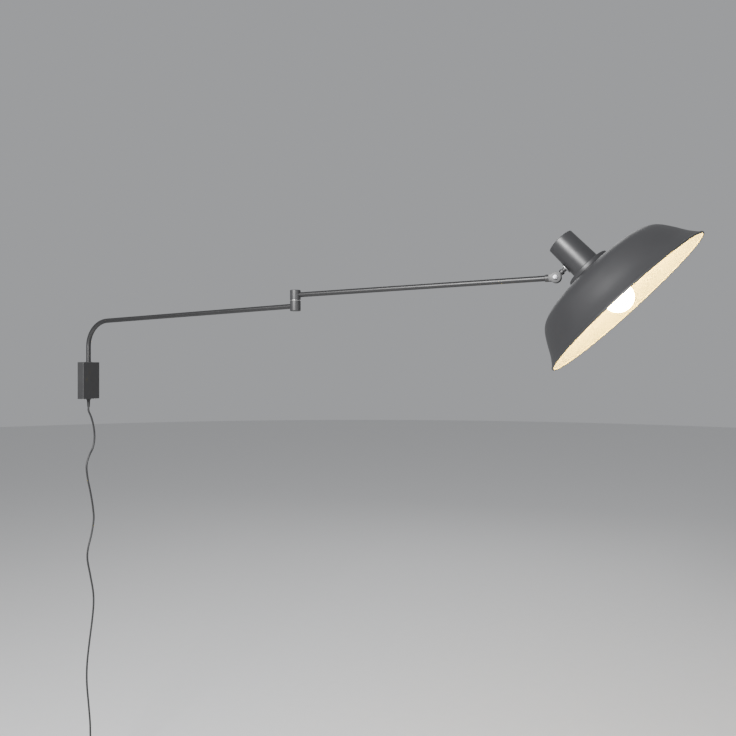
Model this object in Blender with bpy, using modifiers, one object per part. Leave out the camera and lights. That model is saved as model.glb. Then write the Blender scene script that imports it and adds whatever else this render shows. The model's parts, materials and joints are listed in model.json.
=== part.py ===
"""Swing arm wall sconce.

A shallow wall box carries two tubular arms on upright swivels.  A spun shade hangs on a side stem
that tilts on a knuckle and turns at its nipple.  Units are metres, +Z is up and +X points out of the
wall.  The origin is the middle of the bracket's back face, where the sconce meets the wall.
"""

import math

import bmesh
import bpy
from mathutils import Matrix, Vector

# Clearances
GAP = 0.0003  # between pieces that touch, or that turn on each other
CUT = 0.002  # how far a cutter runs past the wall it opens

# Round pieces
FINE = 32  # sides of the largest turned pieces
SHADE_SIDES = 48
ROUND = 20  # sides of ordinary turned pieces
SMALL = 12  # sides of screws, pins and wires

# Arm tubes
TUBE_RADIUS = 0.006
TUBE_WALL = 0.001
WIRE_RADIUS = 0.0022

# Wall box
BRACKET_THICK = 0.0025
BLOCK_WALL = 0.0019  # metal left in front of and behind the tube's bore
ARM_AXIS_X = BRACKET_THICK + BLOCK_WALL + TUBE_RADIUS + 2 * GAP
BOX_DEPTH = 2 * ARM_AXIS_X
BOX_WIDTH = 0.058
BOX_HEIGHT = 0.100
BOX_WALL = 0.0015
BOX_EDGE = 0.0012  # rounding of the cover's edges
BOX_OFF_WALL = 0.0004  # the cover's rim stays this far in front of the bracket's back face

# Pivot block inside the box
BLOCK_WIDTH = 0.030
BLOCK_HEIGHT = 0.046
BLOCK_TOP_SPACE = 0.0085  # from the block's top to the inside of the box's top wall
BLOCK_SCREW_Y = 0.0115
BLOCK_SCREW_Z = 0.015  # half the distance between the two rows of screws
SCREW_RADIUS = 0.0015
SCREW_HEAD_RADIUS = 0.0028
SCREW_HEAD_HEIGHT = 0.0020

# Bushing around the tube in the box's top wall
BUSH_WALL = 0.0010
BUSH_FLANGE = 0.0012  # how far its flange reaches past its body
BUSH_FLANGE_THICK = 0.0008

# Ring that keeps the tube from lifting out
STOP_RING_WALL = 0.0019
STOP_RING_HEIGHT = 0.006
TUBE_BELOW_RING = 0.0035

# Cover screws, in the bracket's bottom flange
COVER_SCREW_Y = 0.020
COVER_SCREW_X = 0.012
COVER_SCREW_LENGTH = 0.006
FLANGE_THICK = 0.0025
FLANGE_DEPTH = 0.018

# Terminal block
TERMINAL_FRONT = 0.0023  # its front face, in front of the arm's axis
TERMINAL_WIDTH = 0.024
TERMINAL_HEIGHT = 0.010
TERMINAL_DROP = 0.0018  # below the lower end of the arm's tube
TERMINAL_HOLE = 0.0015

# Mains cord and its gland
CORD_RADIUS = 0.0025
GLAND_WALL = 0.0009
GLAND_SLEEVE = 0.020  # length of the tapered strain relief
GLAND_TAPER = 0.0008  # how much wider the relief is at its root
GLAND_FLANGE_RADIUS = 0.0062
GLAND_FLANGE_THICK = 0.0022
GLAND_NUT_RADIUS = 0.0062
GLAND_NUT_THICK = 0.0025

# Lower arm
BEND_RADIUS = 0.068
BEND_STEPS = 14
CORNER_HEIGHT = 0.1594  # where the upright and the arm's line would cross
ELBOW_REACH = 0.643  # from the upright's axis to the elbow's
LOWER_RISE = math.radians(1.95)

# Elbow
SLEEVE_RADIUS = 0.0127
SLEEVE_HEIGHT = 0.0236
SLEEVE_WALL = 0.0031
SLEEVE_FLOOR = 0.0042
SLEEVE_EDGE = 0.0006
ELBOW_STEP = 0.026  # from the lower arm's line to the upper arm's, at the elbow
ELBOW_WASHER_THICK = 0.0018
ELBOW_WASHER_PROUD = 0.0002
CAP_THICK = 0.0020
CAP_RECESS = 0.0003
BOLT_RADIUS = 0.005
BOLT_BORE = 0.0034
BOLT_HEAD_CLEARANCE = 0.0013  # from the bolt's head to the sleeve's bore
BOLT_HEAD_THICK = 0.0026
SPRING_WASHER_THICK = 0.0010
NUT_THICK = 0.0040

# Upper arm
UPPER_REACH = 0.604  # from the elbow's axis to the knuckle's
UPPER_RISE = math.radians(1.04)

# Knuckle
FORK_DISC_RADIUS = 0.011
FORK_CHEEK = 0.0035
FORK_NECK = 0.0068  # half the height of the neck behind the discs
COLLAR_RADIUS = 0.0076
COLLAR_LENGTH = 0.0086
COLLAR_TO_PIVOT = 0.0133
SPIGOT_LENGTH = 0.014
TONGUE_THICK = 0.0052
FRICTION_WASHER_THICK = 0.0008
FRICTION_WASHER_RADIUS = 0.0095
TILT_SCREW_RADIUS = 0.0025
TILT_HEAD_RADIUS = 0.0050
TILT_HEAD_THICK = 0.0022
TILT_NUT_RADIUS = 0.0046
TILT_NUT_THICK = 0.0040
SLOT_WIDTH = 0.0011
SLOT_DEPTH = 0.0010

# Stem between the knuckle and the cup
BARREL_RADIUS = 0.0060
BARREL_START = 0.0122  # from the pivot
BARREL_LENGTH = 0.0070
NIPPLE_RADIUS = 0.0047
NIPPLE_GROOVE = 0.0008  # gap that shows between the barrel and the nipple's shoulder
NIPPLE_SPIGOT_RADIUS = 0.0030
NIPPLE_SPIGOT_LENGTH = 0.0050
NIPPLE_THREAD_RADIUS = 0.0040
CUP_WASHER_RADIUS = 0.0120
CUP_WASHER_THICK = 0.0013
LOCK_NUT_RADIUS = 0.0078
LOCK_NUT_THICK = 0.0030
SET_SCREW_RADIUS = 0.0013

# Head: heights are above the plane of the shade's rim
HEAD_DROP_ANGLE = math.radians(47.0)  # of the shade's axis below the horizontal, at rest
HEAD_OFFSET = 0.057  # from the pivot to the shade's axis, along the stem
STEM_HEIGHT = 0.1365
SHEET = 0.0012  # thickness of the spun shade and cup

# Socket cup
CUP_BASE_RADIUS = 0.0300
CUP_TOP_RADIUS = 0.0285
CUP_BASE = 0.1090
CUP_TOP = 0.1855
CUP_DOME = 0.0040
CUP_EDGE = 0.0012

# Neck ring under the cup
NECK_RADIUS = 0.0465
NECK_EDGE = 0.0010
NECK_SHEET = 0.0015

# Shade: (radius, height) down the outside, from the edge of its flat crown to the rim
CROWN_HEIGHT = 0.0990
SHADE_OUTLINE = (
    (0.0490, 0.0987),
    (0.0720, 0.0936),
    (0.1025, 0.0890),
    (0.1215, 0.0848),
    (0.1380, 0.0775),
    (0.1495, 0.0665),
    (0.1610, 0.0480),
    (0.1735, 0.0240),
    (0.1825, 0.0105),
    (0.1875, 0.0040),
)
RIM_RADIUS = 0.1900
LIP_RADIUS = 0.0020  # rolled edge

# Lamp holder
HOLDER_RADIUS = 0.0200
HOLDER_BORE = 0.0146
HOLDER_MOUTH = 0.0660
HOLDER_FLOOR = 0.1000
HOLDER_FLOOR_THICK = 0.0030
HOLDER_BACK = 0.1232
HOLDER_SPLIT = 0.1080  # where the back cap meets the body
HOLDER_RING_RADIUS = 0.0270
HOLDER_RING_THICK = 0.0060
HOLDER_NIPPLE_RADIUS = 0.0050
HOLDER_NIPPLE_BORE = 0.0032
PLATE_THICK = 0.0020
NIPPLE_NUT_RADIUS = 0.0085
NIPPLE_NUT_THICK = 0.0040
CONTACT_RADIUS = 0.0045
CONTACT_THICK = 0.0006
CONTACT_RIVET = 0.0016

# Bulb
BULB_RADIUS = 0.0300
BULB_CENTRE = 0.0220
BULB_GLASS = 0.0010
BULB_NECK_RADIUS = 0.0130
BULB_NECK = 0.0700
BULB_CAP_RADIUS = 0.0132
BULB_CAP_LENGTH = 0.0222
BULB_STEPS = 9  # stretches of the round end
BULB_THREAD_PITCH = 0.0050
BULB_THREAD_DEPTH = 0.0007
BULB_TIP_RADIUS = 0.0045

# Cord: the route from the gland to the coil, chosen by hand as it hangs beside the wall
CORD_ROUTE = (
    (0.0110, 0.000, -0.0830),
    (0.0108, 0.009, -0.0990),
    (0.0104, 0.018, -0.1230),
    (0.0100, 0.023, -0.1550),
    (0.0096, 0.018, -0.1840),
    (0.0092, 0.004, -0.2070),
    (0.0090, -0.005, -0.2330),
    (0.0090, -0.001, -0.2680),
    (0.0092, 0.009, -0.3080),
    (0.0096, 0.017, -0.3480),
    (0.0100, 0.020, -0.3830),
    (0.0098, 0.012, -0.4230),
    (0.0094, 0.000, -0.4600),
    (0.0092, -0.002, -0.4900),
    (0.0094, 0.008, -0.5350),
    (0.0098, 0.018, -0.5830),
    (0.0102, 0.019, -0.6200),
    (0.0104, 0.013, -0.6650),
    (0.0106, 0.003, -0.7200),
    (0.0108, -0.005, -0.7750),
    (0.0110, -0.006, -0.8250),
    (0.0112, 0.000, -0.8850),
    (0.0114, 0.005, -0.9350),
    (0.0116, 0.006, -0.9700),
)
CORD_STEP = 0.0140
COIL_RADIUS = 0.0275  # middle of the coil's turns
COIL_HALF = (0.0055, 0.0078)  # half its thickness, and half its width across the turns
COIL_DROP = 0.0520  # from the route's last point down to the coil's centre
COIL_EDGE = 0.0020
TIE_LENGTH = 0.0070
TIE_THICK = 0.0010
TIE_ANGLE = math.radians(-120.0)
PLUG_NECK_RADIUS = 0.0036
PLUG_NECK_LENGTH = 0.0120
PLUG_SIZE = (0.0137, 0.0350, 0.0340)
PLUG_PIN_RADIUS = 0.0020
PLUG_PIN_LENGTH = 0.0190
PLUG_PIN_SPREAD = 0.0093

# Colours
ANTHRACITE = (0.060, 0.060, 0.063)
BLACK = (0.020, 0.020, 0.021)
ZINC = (0.62, 0.62, 0.60)
BRASS = (0.72, 0.55, 0.28)
CERAMIC = (0.80, 0.79, 0.75)
NYLON = (0.05, 0.05, 0.05)
OPAL = (0.95, 0.93, 0.88)

# Directions a turned piece can point in
ALONG_X = Matrix.Rotation(math.radians(90), 4, "Y")
ALONG_Y = Matrix.Rotation(math.radians(-90), 4, "X")


def clear_scene():
    for thing in list(bpy.data.objects):
        bpy.data.objects.remove(thing, do_unlink=True)


def new_collection(name):
    made = bpy.data.collections.new(name)
    bpy.context.scene.collection.children.link(made)
    return made


clear_scene()
SCONCE = new_collection("swing_arm_wall_sconce")
GUIDES = new_collection("cutters_and_guides")


# ---------------------------------------------------------------- helpers


def paint(thing, colour, roughness=0.5, metallic=0.0):
    """Give a piece its own Principled material."""
    made = bpy.data.materials.new(thing.name)
    made.use_nodes = True
    shader = made.node_tree.nodes["Principled BSDF"]
    shader.inputs["Base Color"].default_value = (*colour, 1.0)
    shader.inputs["Roughness"].default_value = roughness
    shader.inputs["Metallic"].default_value = metallic
    thing.data.materials.append(made)


def place(name, data, parent, where, home=SCONCE):
    """Link a new object under its parent, with its place given in the parent's own frame."""
    thing = bpy.data.objects.new(name, data)
    home.objects.link(thing)
    thing.parent = parent
    thing.matrix_local = where
    return thing


def pivot(name, parent, where):
    """An empty that stands on a joint's axis."""
    return place(name, None, parent, where)


def shift(x=0.0, y=0.0, z=0.0):
    return Matrix.Translation((x, y, z))


def mesh_of(name, build):
    made = bpy.data.meshes.new(name)
    shape = bmesh.new()
    build(shape)
    bmesh.ops.recalc_face_normals(shape, faces=shape.faces)
    shape.to_mesh(made)
    shape.free()
    return made


def rod(name, radius, low, high, parent, where=None, sides=ROUND, home=SCONCE):
    """A cylinder on the local Z axis, from low to high."""

    def build(shape):
        bmesh.ops.create_cone(
            shape,
            cap_ends=True,
            segments=sides,
            radius1=radius,
            radius2=radius,
            depth=high - low,
            matrix=shift(z=(low + high) / 2),
        )

    thing = place(name, mesh_of(name, build), parent, where or Matrix(), home)
    if sides > 6:
        thing.data.shade_smooth()
        thing.data.set_sharp_from_angle(angle=math.radians(40))
    return thing


def block(name, low, high, parent, where=None, edge=0.0, home=SCONCE):
    """A box between two corners, with its edges rounded by a bevel."""
    low, high = Vector(low), Vector(high)
    size = high - low

    def build(shape):
        bmesh.ops.create_cube(shape, size=1.0)
        bmesh.ops.scale(shape, vec=size, verts=shape.verts)
        bmesh.ops.translate(shape, vec=(low + high) / 2, verts=shape.verts)

    thing = place(name, mesh_of(name, build), parent, where or Matrix(), home)
    if edge:
        rounding = thing.modifiers.new("rounded edges", "BEVEL")
        rounding.width = edge
        rounding.segments = 2
    return thing


def turned(name, outline, parent, where=None, closed=True, steps=ROUND, home=SCONCE):
    """Spin an outline of (radius, height) points about local Z.

    The outline runs down the outer side.  A closed one is a loop clear of the axis; an open one
    starts and ends on the axis.
    """
    made = bpy.data.meshes.new(name)
    count = len(outline)
    edges = [(i, i + 1) for i in range(count - 1)]
    if closed:
        edges.append((count - 1, 0))
    made.from_pydata([(r, 0.0, z) for r, z in outline], edges, [])
    thing = place(name, made, parent, where or Matrix(), home)
    spin = thing.modifiers.new("turned", "SCREW")
    spin.steps = steps
    spin.render_steps = steps
    spin.use_merge_vertices = True
    spin.merge_threshold = 0.00001
    spin.use_smooth_shade = True
    return thing


def ring(name, inner, outer, low, high, parent, where=None, steps=ROUND):
    """A washer or bush with square edges."""
    outline = ((inner, high), (outer, high), (outer, low), (inner, low))
    return turned(name, outline, parent, where, steps=steps)


def cut(thing, tool):
    """Take the tool's shape out of a piece."""
    step = thing.modifiers.new("cut by " + tool.name, "BOOLEAN")
    step.operation = "DIFFERENCE"
    step.object = tool


def fuse(thing, tool):
    """Add the tool's shape to a piece."""
    step = thing.modifiers.new("joined with " + tool.name, "BOOLEAN")
    step.operation = "UNION"
    step.object = tool


def guide(thing):
    """Mark a cutter or a shape that is only joined into another."""
    thing.hide_render = True
    thing.display_type = "WIRE"
    return thing


def cutting_rod(name, radius, low, high, parent, where=None, sides=ROUND):
    return guide(rod(name, radius, low, high, parent, where, sides, GUIDES))


def cutting_block(name, low, high, parent, where=None):
    return guide(block(name, low, high, parent, where, home=GUIDES))


def line(name, points, radius, parent, resolution, hollow=0.0):
    """A tube along points.  With hollow, its wall is that thick and its ends are open."""
    curve = bpy.data.curves.new(name, "CURVE")
    curve.dimensions = "3D"
    curve.bevel_depth = radius
    curve.bevel_resolution = resolution
    curve.use_fill_caps = not hollow
    spline = curve.splines.new("POLY")
    spline.points.add(len(points) - 1)
    for spot, point in zip(spline.points, points):
        spot.co = (*point, 1.0)
    spline.use_smooth = True
    thing = place(name, curve, parent, Matrix())
    if hollow:
        wall = thing.modifiers.new("tube wall", "SOLIDIFY")
        wall.thickness = hollow
        wall.offset = -1.0
        wall.use_even_offset = True
    return thing


def smooth_route(points, step):
    """Read evenly spaced points from a smooth curve through the given ones."""
    knots = [Vector(p) for p in points]
    knots = [2 * knots[0] - knots[1], *knots, 2 * knots[-1] - knots[-2]]
    dense = []
    for a, b, c, d in zip(knots, knots[1:], knots[2:], knots[3:]):
        for i in range(40):
            t = i / 40
            dense.append(
                0.5
                * (
                    2 * b
                    + (c - a) * t
                    + (2 * a - 5 * b + 4 * c - d) * t**2
                    + (3 * b - a - 3 * c + d) * t**3
                )
            )
    dense.append(knots[-2])
    total = sum((q - p).length for p, q in zip(dense, dense[1:]))
    count = max(2, round(total / step))
    spacing = total / count
    route = [dense[0]]
    walked = 0.0
    for p, q in zip(dense, dense[1:]):
        length = (q - p).length
        while len(route) < count and walked + length >= spacing * len(route):
            share = (spacing * len(route) - walked) / length
            route.append(p.lerp(q, share))
        walked += length
    route.append(dense[-1])
    return route


# ---------------------------------------------------------------- frames

KNUCKLE = Vector(
    (
        ARM_AXIS_X + ELBOW_REACH + UPPER_REACH,
        0.0,
        CORNER_HEIGHT
        + ELBOW_REACH * math.tan(LOWER_RISE)
        + ELBOW_STEP
        + UPPER_REACH * math.tan(UPPER_RISE),
    )
)
LOWER_LINE_HEIGHT = CORNER_HEIGHT + ELBOW_REACH * math.tan(LOWER_RISE)

WALL = pivot("wall_frame", None, Matrix())
SWIVEL = pivot("wall_swivel_axis", WALL, shift(x=ARM_AXIS_X))
ELBOW_LOW = pivot("elbow_lower_frame", SWIVEL, shift(x=ELBOW_REACH, z=LOWER_LINE_HEIGHT))
ELBOW_UP = pivot("elbow_swivel_axis", ELBOW_LOW, shift(z=ELBOW_STEP))
ARM_END = pivot(
    "upper_arm_end",
    ELBOW_UP,
    shift(x=UPPER_REACH, z=UPPER_REACH * math.tan(UPPER_RISE)) @ Matrix.Rotation(-UPPER_RISE, 4, "Y"),
)
# The head's own frame: local X runs along the stem, local Z up the shade's axis, away from its rim
TILT = pivot(
    "head_tilt_axis",
    ELBOW_UP,
    shift(x=UPPER_REACH, z=UPPER_REACH * math.tan(UPPER_RISE))
    @ Matrix.Rotation(HEAD_DROP_ANGLE - math.radians(90), 4, "Y"),
)
TURN = pivot("head_turn_axis", TILT, Matrix())
LAMP = pivot("shade_axis", TURN, shift(x=HEAD_OFFSET, z=-STEM_HEIGHT))


# ---------------------------------------------------------------- wall unit

HALF_WIDTH = BOX_WIDTH / 2
HALF_HEIGHT = BOX_HEIGHT / 2
INNER_TOP = HALF_HEIGHT - BOX_WALL
INNER_FRONT = BOX_DEPTH - BOX_WALL
BLOCK_HIGH = INNER_TOP - BLOCK_TOP_SPACE
BLOCK_LOW = BLOCK_HIGH - BLOCK_HEIGHT
BLOCK_BACK = BRACKET_THICK + GAP
BLOCK_FRONT = ARM_AXIS_X + TUBE_RADIUS + GAP + BLOCK_WALL
TUBE_HOLE = TUBE_RADIUS + GAP
BUSH_RADIUS = TUBE_HOLE + BUSH_WALL
SCREW_HOLE = SCREW_RADIUS + GAP
GLAND_BORE = CORD_RADIUS + GAP
GLAND_RADIUS = GLAND_BORE + GLAND_WALL
TUBE_END = BLOCK_LOW - GAP - STOP_RING_HEIGHT - TUBE_BELOW_RING
BLOCK_SCREWS = [
    (side * BLOCK_SCREW_Y, (BLOCK_LOW + BLOCK_HIGH) / 2 + row * BLOCK_SCREW_Z)
    for row in (-1, 1)
    for side in (-1, 1)
]


def wall_bracket():
    """Back plate with a bottom flange that holds the gland and the cover's screws."""
    half_y = HALF_WIDTH - BOX_WALL - GAP
    half_z = HALF_HEIGHT - BOX_WALL - GAP
    plate = block("wall_bracket", (0, -half_y, -half_z), (BRACKET_THICK, half_y, half_z), WALL)
    flange = guide(
        block(
            "bracket_flange",
            (0, -half_y, -half_z),
            (FLANGE_DEPTH, half_y, -half_z + FLANGE_THICK),
            WALL,
            home=GUIDES,
        )
    )
    fuse(plate, flange)
    for number, (y, z) in enumerate(BLOCK_SCREWS, 1):
        hole = cutting_rod(
            f"bracket_hole_{number}",
            SCREW_HOLE,
            -CUT,
            BRACKET_THICK + CUT,
            WALL,
            shift(y=y, z=z) @ ALONG_X,
            SMALL,
        )
        cut(plate, hole)
    for side in (-1, 1):
        slot = cutting_block(
            f"wall_screw_slot_{'left' if side < 0 else 'right'}",
            (-CUT, side * BOX_WIDTH / 3 - 0.0024, -0.006),
            (BRACKET_THICK + CUT, side * BOX_WIDTH / 3 + 0.0024, 0.006),
            WALL,
        )
        cut(plate, slot)
        hole = cutting_rod(
            f"cover_hole_{'left' if side < 0 else 'right'}",
            SCREW_HOLE,
            -half_z - CUT,
            -half_z + FLANGE_THICK + CUT,
            WALL,
            shift(x=COVER_SCREW_X, y=side * COVER_SCREW_Y),
            SMALL,
        )
        cut(plate, hole)
    gland_hole = cutting_rod(
        "bracket_gland_hole",
        GLAND_RADIUS + GAP,
        -half_z - CUT,
        -half_z + FLANGE_THICK + CUT,
        WALL,
        shift(x=ARM_AXIS_X),
    )
    cut(plate, gland_hole)
    paint(plate, ZINC, 0.4, 1.0)


def wall_box():
    """Cover, open towards the wall, with slots that slide over the bushing and the gland."""
    cover = block(
        "wall_box",
        (BOX_OFF_WALL, -HALF_WIDTH, -HALF_HEIGHT),
        (BOX_DEPTH, HALF_WIDTH, HALF_HEIGHT),
        WALL,
        edge=BOX_EDGE,
    )
    hollow = cutting_block(
        "box_hollow",
        (-CUT, BOX_WALL - HALF_WIDTH, BOX_WALL - HALF_HEIGHT),
        (INNER_FRONT, HALF_WIDTH - BOX_WALL, INNER_TOP),
        WALL,
    )
    cut(cover, hollow)
    bush_slot = BUSH_RADIUS + GAP
    gland_slot = GLAND_RADIUS + GAP
    for name, half, low, high in (
        ("bush_slot", bush_slot, INNER_TOP - CUT, HALF_HEIGHT + CUT),
        ("gland_slot", gland_slot, -HALF_HEIGHT - CUT, CUT - INNER_TOP),
    ):
        end = cutting_rod(name + "_end", half, low, high, WALL, shift(x=ARM_AXIS_X))
        cut(cover, end)
        straight = cutting_block(name, (-CUT, -half, low), (ARM_AXIS_X, half, high), WALL)
        cut(cover, straight)
    for side in (-1, 1):
        hole = cutting_rod(
            f"box_screw_hole_{'left' if side < 0 else 'right'}",
            SCREW_HOLE,
            -HALF_HEIGHT - CUT,
            CUT - INNER_TOP,
            WALL,
            shift(x=COVER_SCREW_X, y=side * COVER_SCREW_Y),
            SMALL,
        )
        cut(cover, hole)
    paint(cover, ANTHRACITE, 0.6)


def cap_screw(name, length, parent, where, slot=True, colour=ZINC):
    """A small screw on local Z: its head is below zero and its shank runs up to length."""
    outline = (
        (0, length),
        (SCREW_RADIUS, length),
        (SCREW_RADIUS, 0),
        (SCREW_HEAD_RADIUS, 0),
        (SCREW_HEAD_RADIUS * 0.8, -SCREW_HEAD_HEIGHT),
        (0, -SCREW_HEAD_HEIGHT),
    )
    made = turned(name, outline, parent, where, closed=False, steps=SMALL)
    if slot:
        tool = cutting_block(
            name + "_slot",
            (-SCREW_HEAD_RADIUS, -0.0004, -SCREW_HEAD_HEIGHT - CUT),
            (SCREW_HEAD_RADIUS, 0.0004, -SCREW_HEAD_HEIGHT * 0.5),
            parent,
            where,
        )
        cut(made, tool)
    paint(made, colour, 0.35, 1.0)


def pivot_block():
    """Metal block that carries the upright part of the arm's tube."""
    made = block(
        "pivot_block",
        (BLOCK_BACK, -BLOCK_WIDTH / 2, BLOCK_LOW),
        (BLOCK_FRONT, BLOCK_WIDTH / 2, BLOCK_HIGH),
        WALL,
        edge=0.0004,
    )
    bore = cutting_rod(
        "block_bore", TUBE_HOLE, BLOCK_LOW - CUT, BLOCK_HIGH + CUT, WALL, shift(x=ARM_AXIS_X)
    )
    cut(made, bore)
    seat = BLOCK_FRONT - SCREW_HEAD_HEIGHT - 2 * GAP
    for number, (y, z) in enumerate(BLOCK_SCREWS, 1):
        where = shift(y=y, z=z) @ ALONG_X
        hole = cutting_rod(
            f"block_hole_{number}",
            SCREW_HOLE,
            BLOCK_BACK - CUT,
            BLOCK_FRONT,
            WALL,
            where,
            SMALL,
        )
        cut(made, hole)
        head_room = cutting_rod(
            f"block_counterbore_{number}",
            SCREW_HEAD_RADIUS + GAP,
            seat,
            BLOCK_FRONT + CUT,
            WALL,
            where,
            SMALL,
        )
        cut(made, head_room)
        cap_screw(
            f"block_screw_{number}",
            seat + GAP,
            WALL,
            shift(x=seat + GAP, y=y, z=z) @ Matrix.Rotation(math.radians(-90), 4, "Y"),
        )
    paint(made, ZINC, 0.4, 1.0)


def swivel_bushing():
    inner = TUBE_HOLE
    flange = BUSH_RADIUS + BUSH_FLANGE
    top = HALF_HEIGHT + GAP + BUSH_FLANGE_THICK
    outline = (
        (inner, top),
        (flange, top),
        (flange, HALF_HEIGHT + GAP),
        (BUSH_RADIUS, HALF_HEIGHT + GAP),
        (BUSH_RADIUS, BLOCK_HIGH + GAP),
        (inner, BLOCK_HIGH + GAP),
    )
    made = turned("swivel_bushing", outline, WALL, shift(x=ARM_AXIS_X))
    paint(made, NYLON, 0.45)


def terminal_block():
    high = TUBE_END - TERMINAL_DROP
    low = high - TERMINAL_HEIGHT
    front = ARM_AXIS_X + TERMINAL_FRONT
    made = block(
        "terminal_block",
        (BLOCK_BACK, -TERMINAL_WIDTH / 2, low),
        (front, TERMINAL_WIDTH / 2, high),
        WALL,
        edge=0.0008,
    )
    for pole in (-1, 0, 1):
        hole = cutting_rod(
            f"terminal_way_{pole + 2}",
            TERMINAL_HOLE,
            low - CUT,
            high + CUT,
            WALL,
            shift(x=(BLOCK_BACK + front) / 2, y=pole * TERMINAL_WIDTH / 3),
            SMALL,
        )
        cut(made, hole)
    paint(made, CERAMIC, 0.5)


def cable_gland():
    """Threaded gland with a tapered strain relief, fixed in the bracket's flange."""
    seat = -HALF_HEIGHT - GAP
    under = seat - GLAND_FLANGE_THICK
    flange_top = -HALF_HEIGHT + BOX_WALL + GAP + FLANGE_THICK
    thread_top = flange_top + GAP + GLAND_NUT_THICK + GAP
    outline = (
        (GLAND_BORE, thread_top),
        (GLAND_RADIUS, thread_top),
        (GLAND_RADIUS, seat),
        (GLAND_FLANGE_RADIUS, seat),
        (GLAND_FLANGE_RADIUS, under),
        (GLAND_RADIUS + GLAND_TAPER, under),
        (GLAND_RADIUS, under - GLAND_SLEEVE),
        (GLAND_BORE, under - GLAND_SLEEVE),
    )
    gland = turned("cable_gland", outline, WALL, shift(x=ARM_AXIS_X), steps=24)
    paint(gland, BLACK, 0.5)
    nut = rod(
        "gland_nut",
        GLAND_NUT_RADIUS,
        flange_top + GAP,
        flange_top + GAP + GLAND_NUT_THICK,
        WALL,
        shift(x=ARM_AXIS_X),
        sides=6,
    )
    hole = cutting_rod(
        "gland_nut_hole",
        GLAND_RADIUS + GAP,
        flange_top - CUT,
        thread_top + CUT,
        WALL,
        shift(x=ARM_AXIS_X),
        24,
    )
    cut(nut, hole)
    paint(nut, BLACK, 0.5)
    return under - GLAND_SLEEVE


def cord(gland_end):
    """Mains cord: a hanging run, then the coil that takes up the rest, with its tie and plug."""
    start = (ARM_AXIS_X, 0.0, gland_end - GAP)
    knots = [start, *CORD_ROUTE]
    x, y, z = CORD_ROUTE[-1]
    centre = Vector((x, y - COIL_RADIUS, z - COIL_DROP))
    half_thick, half_wide = COIL_HALF
    outer = COIL_RADIUS + half_wide
    meet = centre.z + math.sqrt(outer**2 - (COIL_RADIUS - CORD_RADIUS) ** 2) + GAP
    knots.append((x, y, meet))
    run = line("cord", smooth_route(knots, CORD_STEP), CORD_RADIUS, WALL, 2)
    paint(run, BLACK, 0.5)

    outline = (
        (COIL_RADIUS - half_wide + COIL_EDGE, half_thick),
        (outer - COIL_EDGE, half_thick),
        (outer, half_thick - COIL_EDGE),
        (outer, COIL_EDGE - half_thick),
        (outer - COIL_EDGE, -half_thick),
        (COIL_RADIUS - half_wide + COIL_EDGE, -half_thick),
        (COIL_RADIUS - half_wide, COIL_EDGE - half_thick),
        (COIL_RADIUS - half_wide, half_thick - COIL_EDGE),
    )
    coil = turned("cord_coil", outline, WALL, Matrix.Translation(centre) @ ALONG_X, steps=FINE)
    paint(coil, BLACK, 0.5)

    hole_x = half_thick + 2 * GAP
    hole_z = half_wide + 2 * GAP
    where = Matrix.Translation(centre) @ Matrix.Rotation(TIE_ANGLE, 4, "X") @ shift(y=COIL_RADIUS)
    tie = block(
        "cord_tie",
        (-hole_x - TIE_THICK, -hole_z - TIE_THICK, -TIE_LENGTH / 2),
        (hole_x + TIE_THICK, hole_z + TIE_THICK, TIE_LENGTH / 2),
        WALL,
        where,
    )
    opening = cutting_block(
        "tie_opening",
        (-hole_x, -hole_z, -TIE_LENGTH),
        (hole_x, hole_z, TIE_LENGTH),
        WALL,
        where,
    )
    cut(tie, opening)
    paint(tie, BLACK, 0.6)

    neck_top = centre.z - math.sqrt(outer**2 - (COIL_RADIUS - PLUG_NECK_RADIUS) ** 2) - GAP
    plug(Vector((x, y, neck_top)))


def plug(top):
    """Flat two-pin plug hanging with its pins down, from the top of its neck."""
    where = Matrix.Translation(top)
    depth, width, length = PLUG_SIZE
    shoulder = -PLUG_NECK_LENGTH
    body = block(
        "plug_body",
        (-depth / 2, -width / 2, shoulder - length),
        (depth / 2, width / 2, shoulder),
        WALL,
        where,
        edge=0.0045,
    )
    neck = guide(
        rod("plug_neck", PLUG_NECK_RADIUS, shoulder - 0.008, 0.0, WALL, where, SMALL, GUIDES)
    )
    fuse(body, neck)
    paint(body, BLACK, 0.45)
    for name, side in (("plug_pin_left", -1), ("plug_pin_right", 1)):
        foot = shoulder - length - GAP
        pin = rod(
            name,
            PLUG_PIN_RADIUS,
            foot - PLUG_PIN_LENGTH,
            foot,
            WALL,
            where @ shift(y=side * PLUG_PIN_SPREAD),
            SMALL,
        )
        paint(pin, ZINC, 0.25, 1.0)


# ---------------------------------------------------------------- lower arm


def lower_route(offset, start, end):
    """The lower arm's line in its own frame, moved towards the bend's centre by offset."""
    radius = BEND_RADIUS - offset
    turn = math.radians(90) - LOWER_RISE
    centre_x = BEND_RADIUS
    tangent = BEND_RADIUS * math.tan(turn / 2)
    centre_z = CORNER_HEIGHT - tangent
    points = [(offset, 0.0, start)]
    for i in range(BEND_STEPS + 1):
        angle = math.radians(180) - turn * i / BEND_STEPS
        points.append(
            (centre_x + radius * math.cos(angle), 0.0, centre_z + radius * math.sin(angle))
        )
    height = CORNER_HEIGHT + end * math.tan(LOWER_RISE) - offset / math.cos(LOWER_RISE)
    points.append((end, 0.0, height))
    return points


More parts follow.
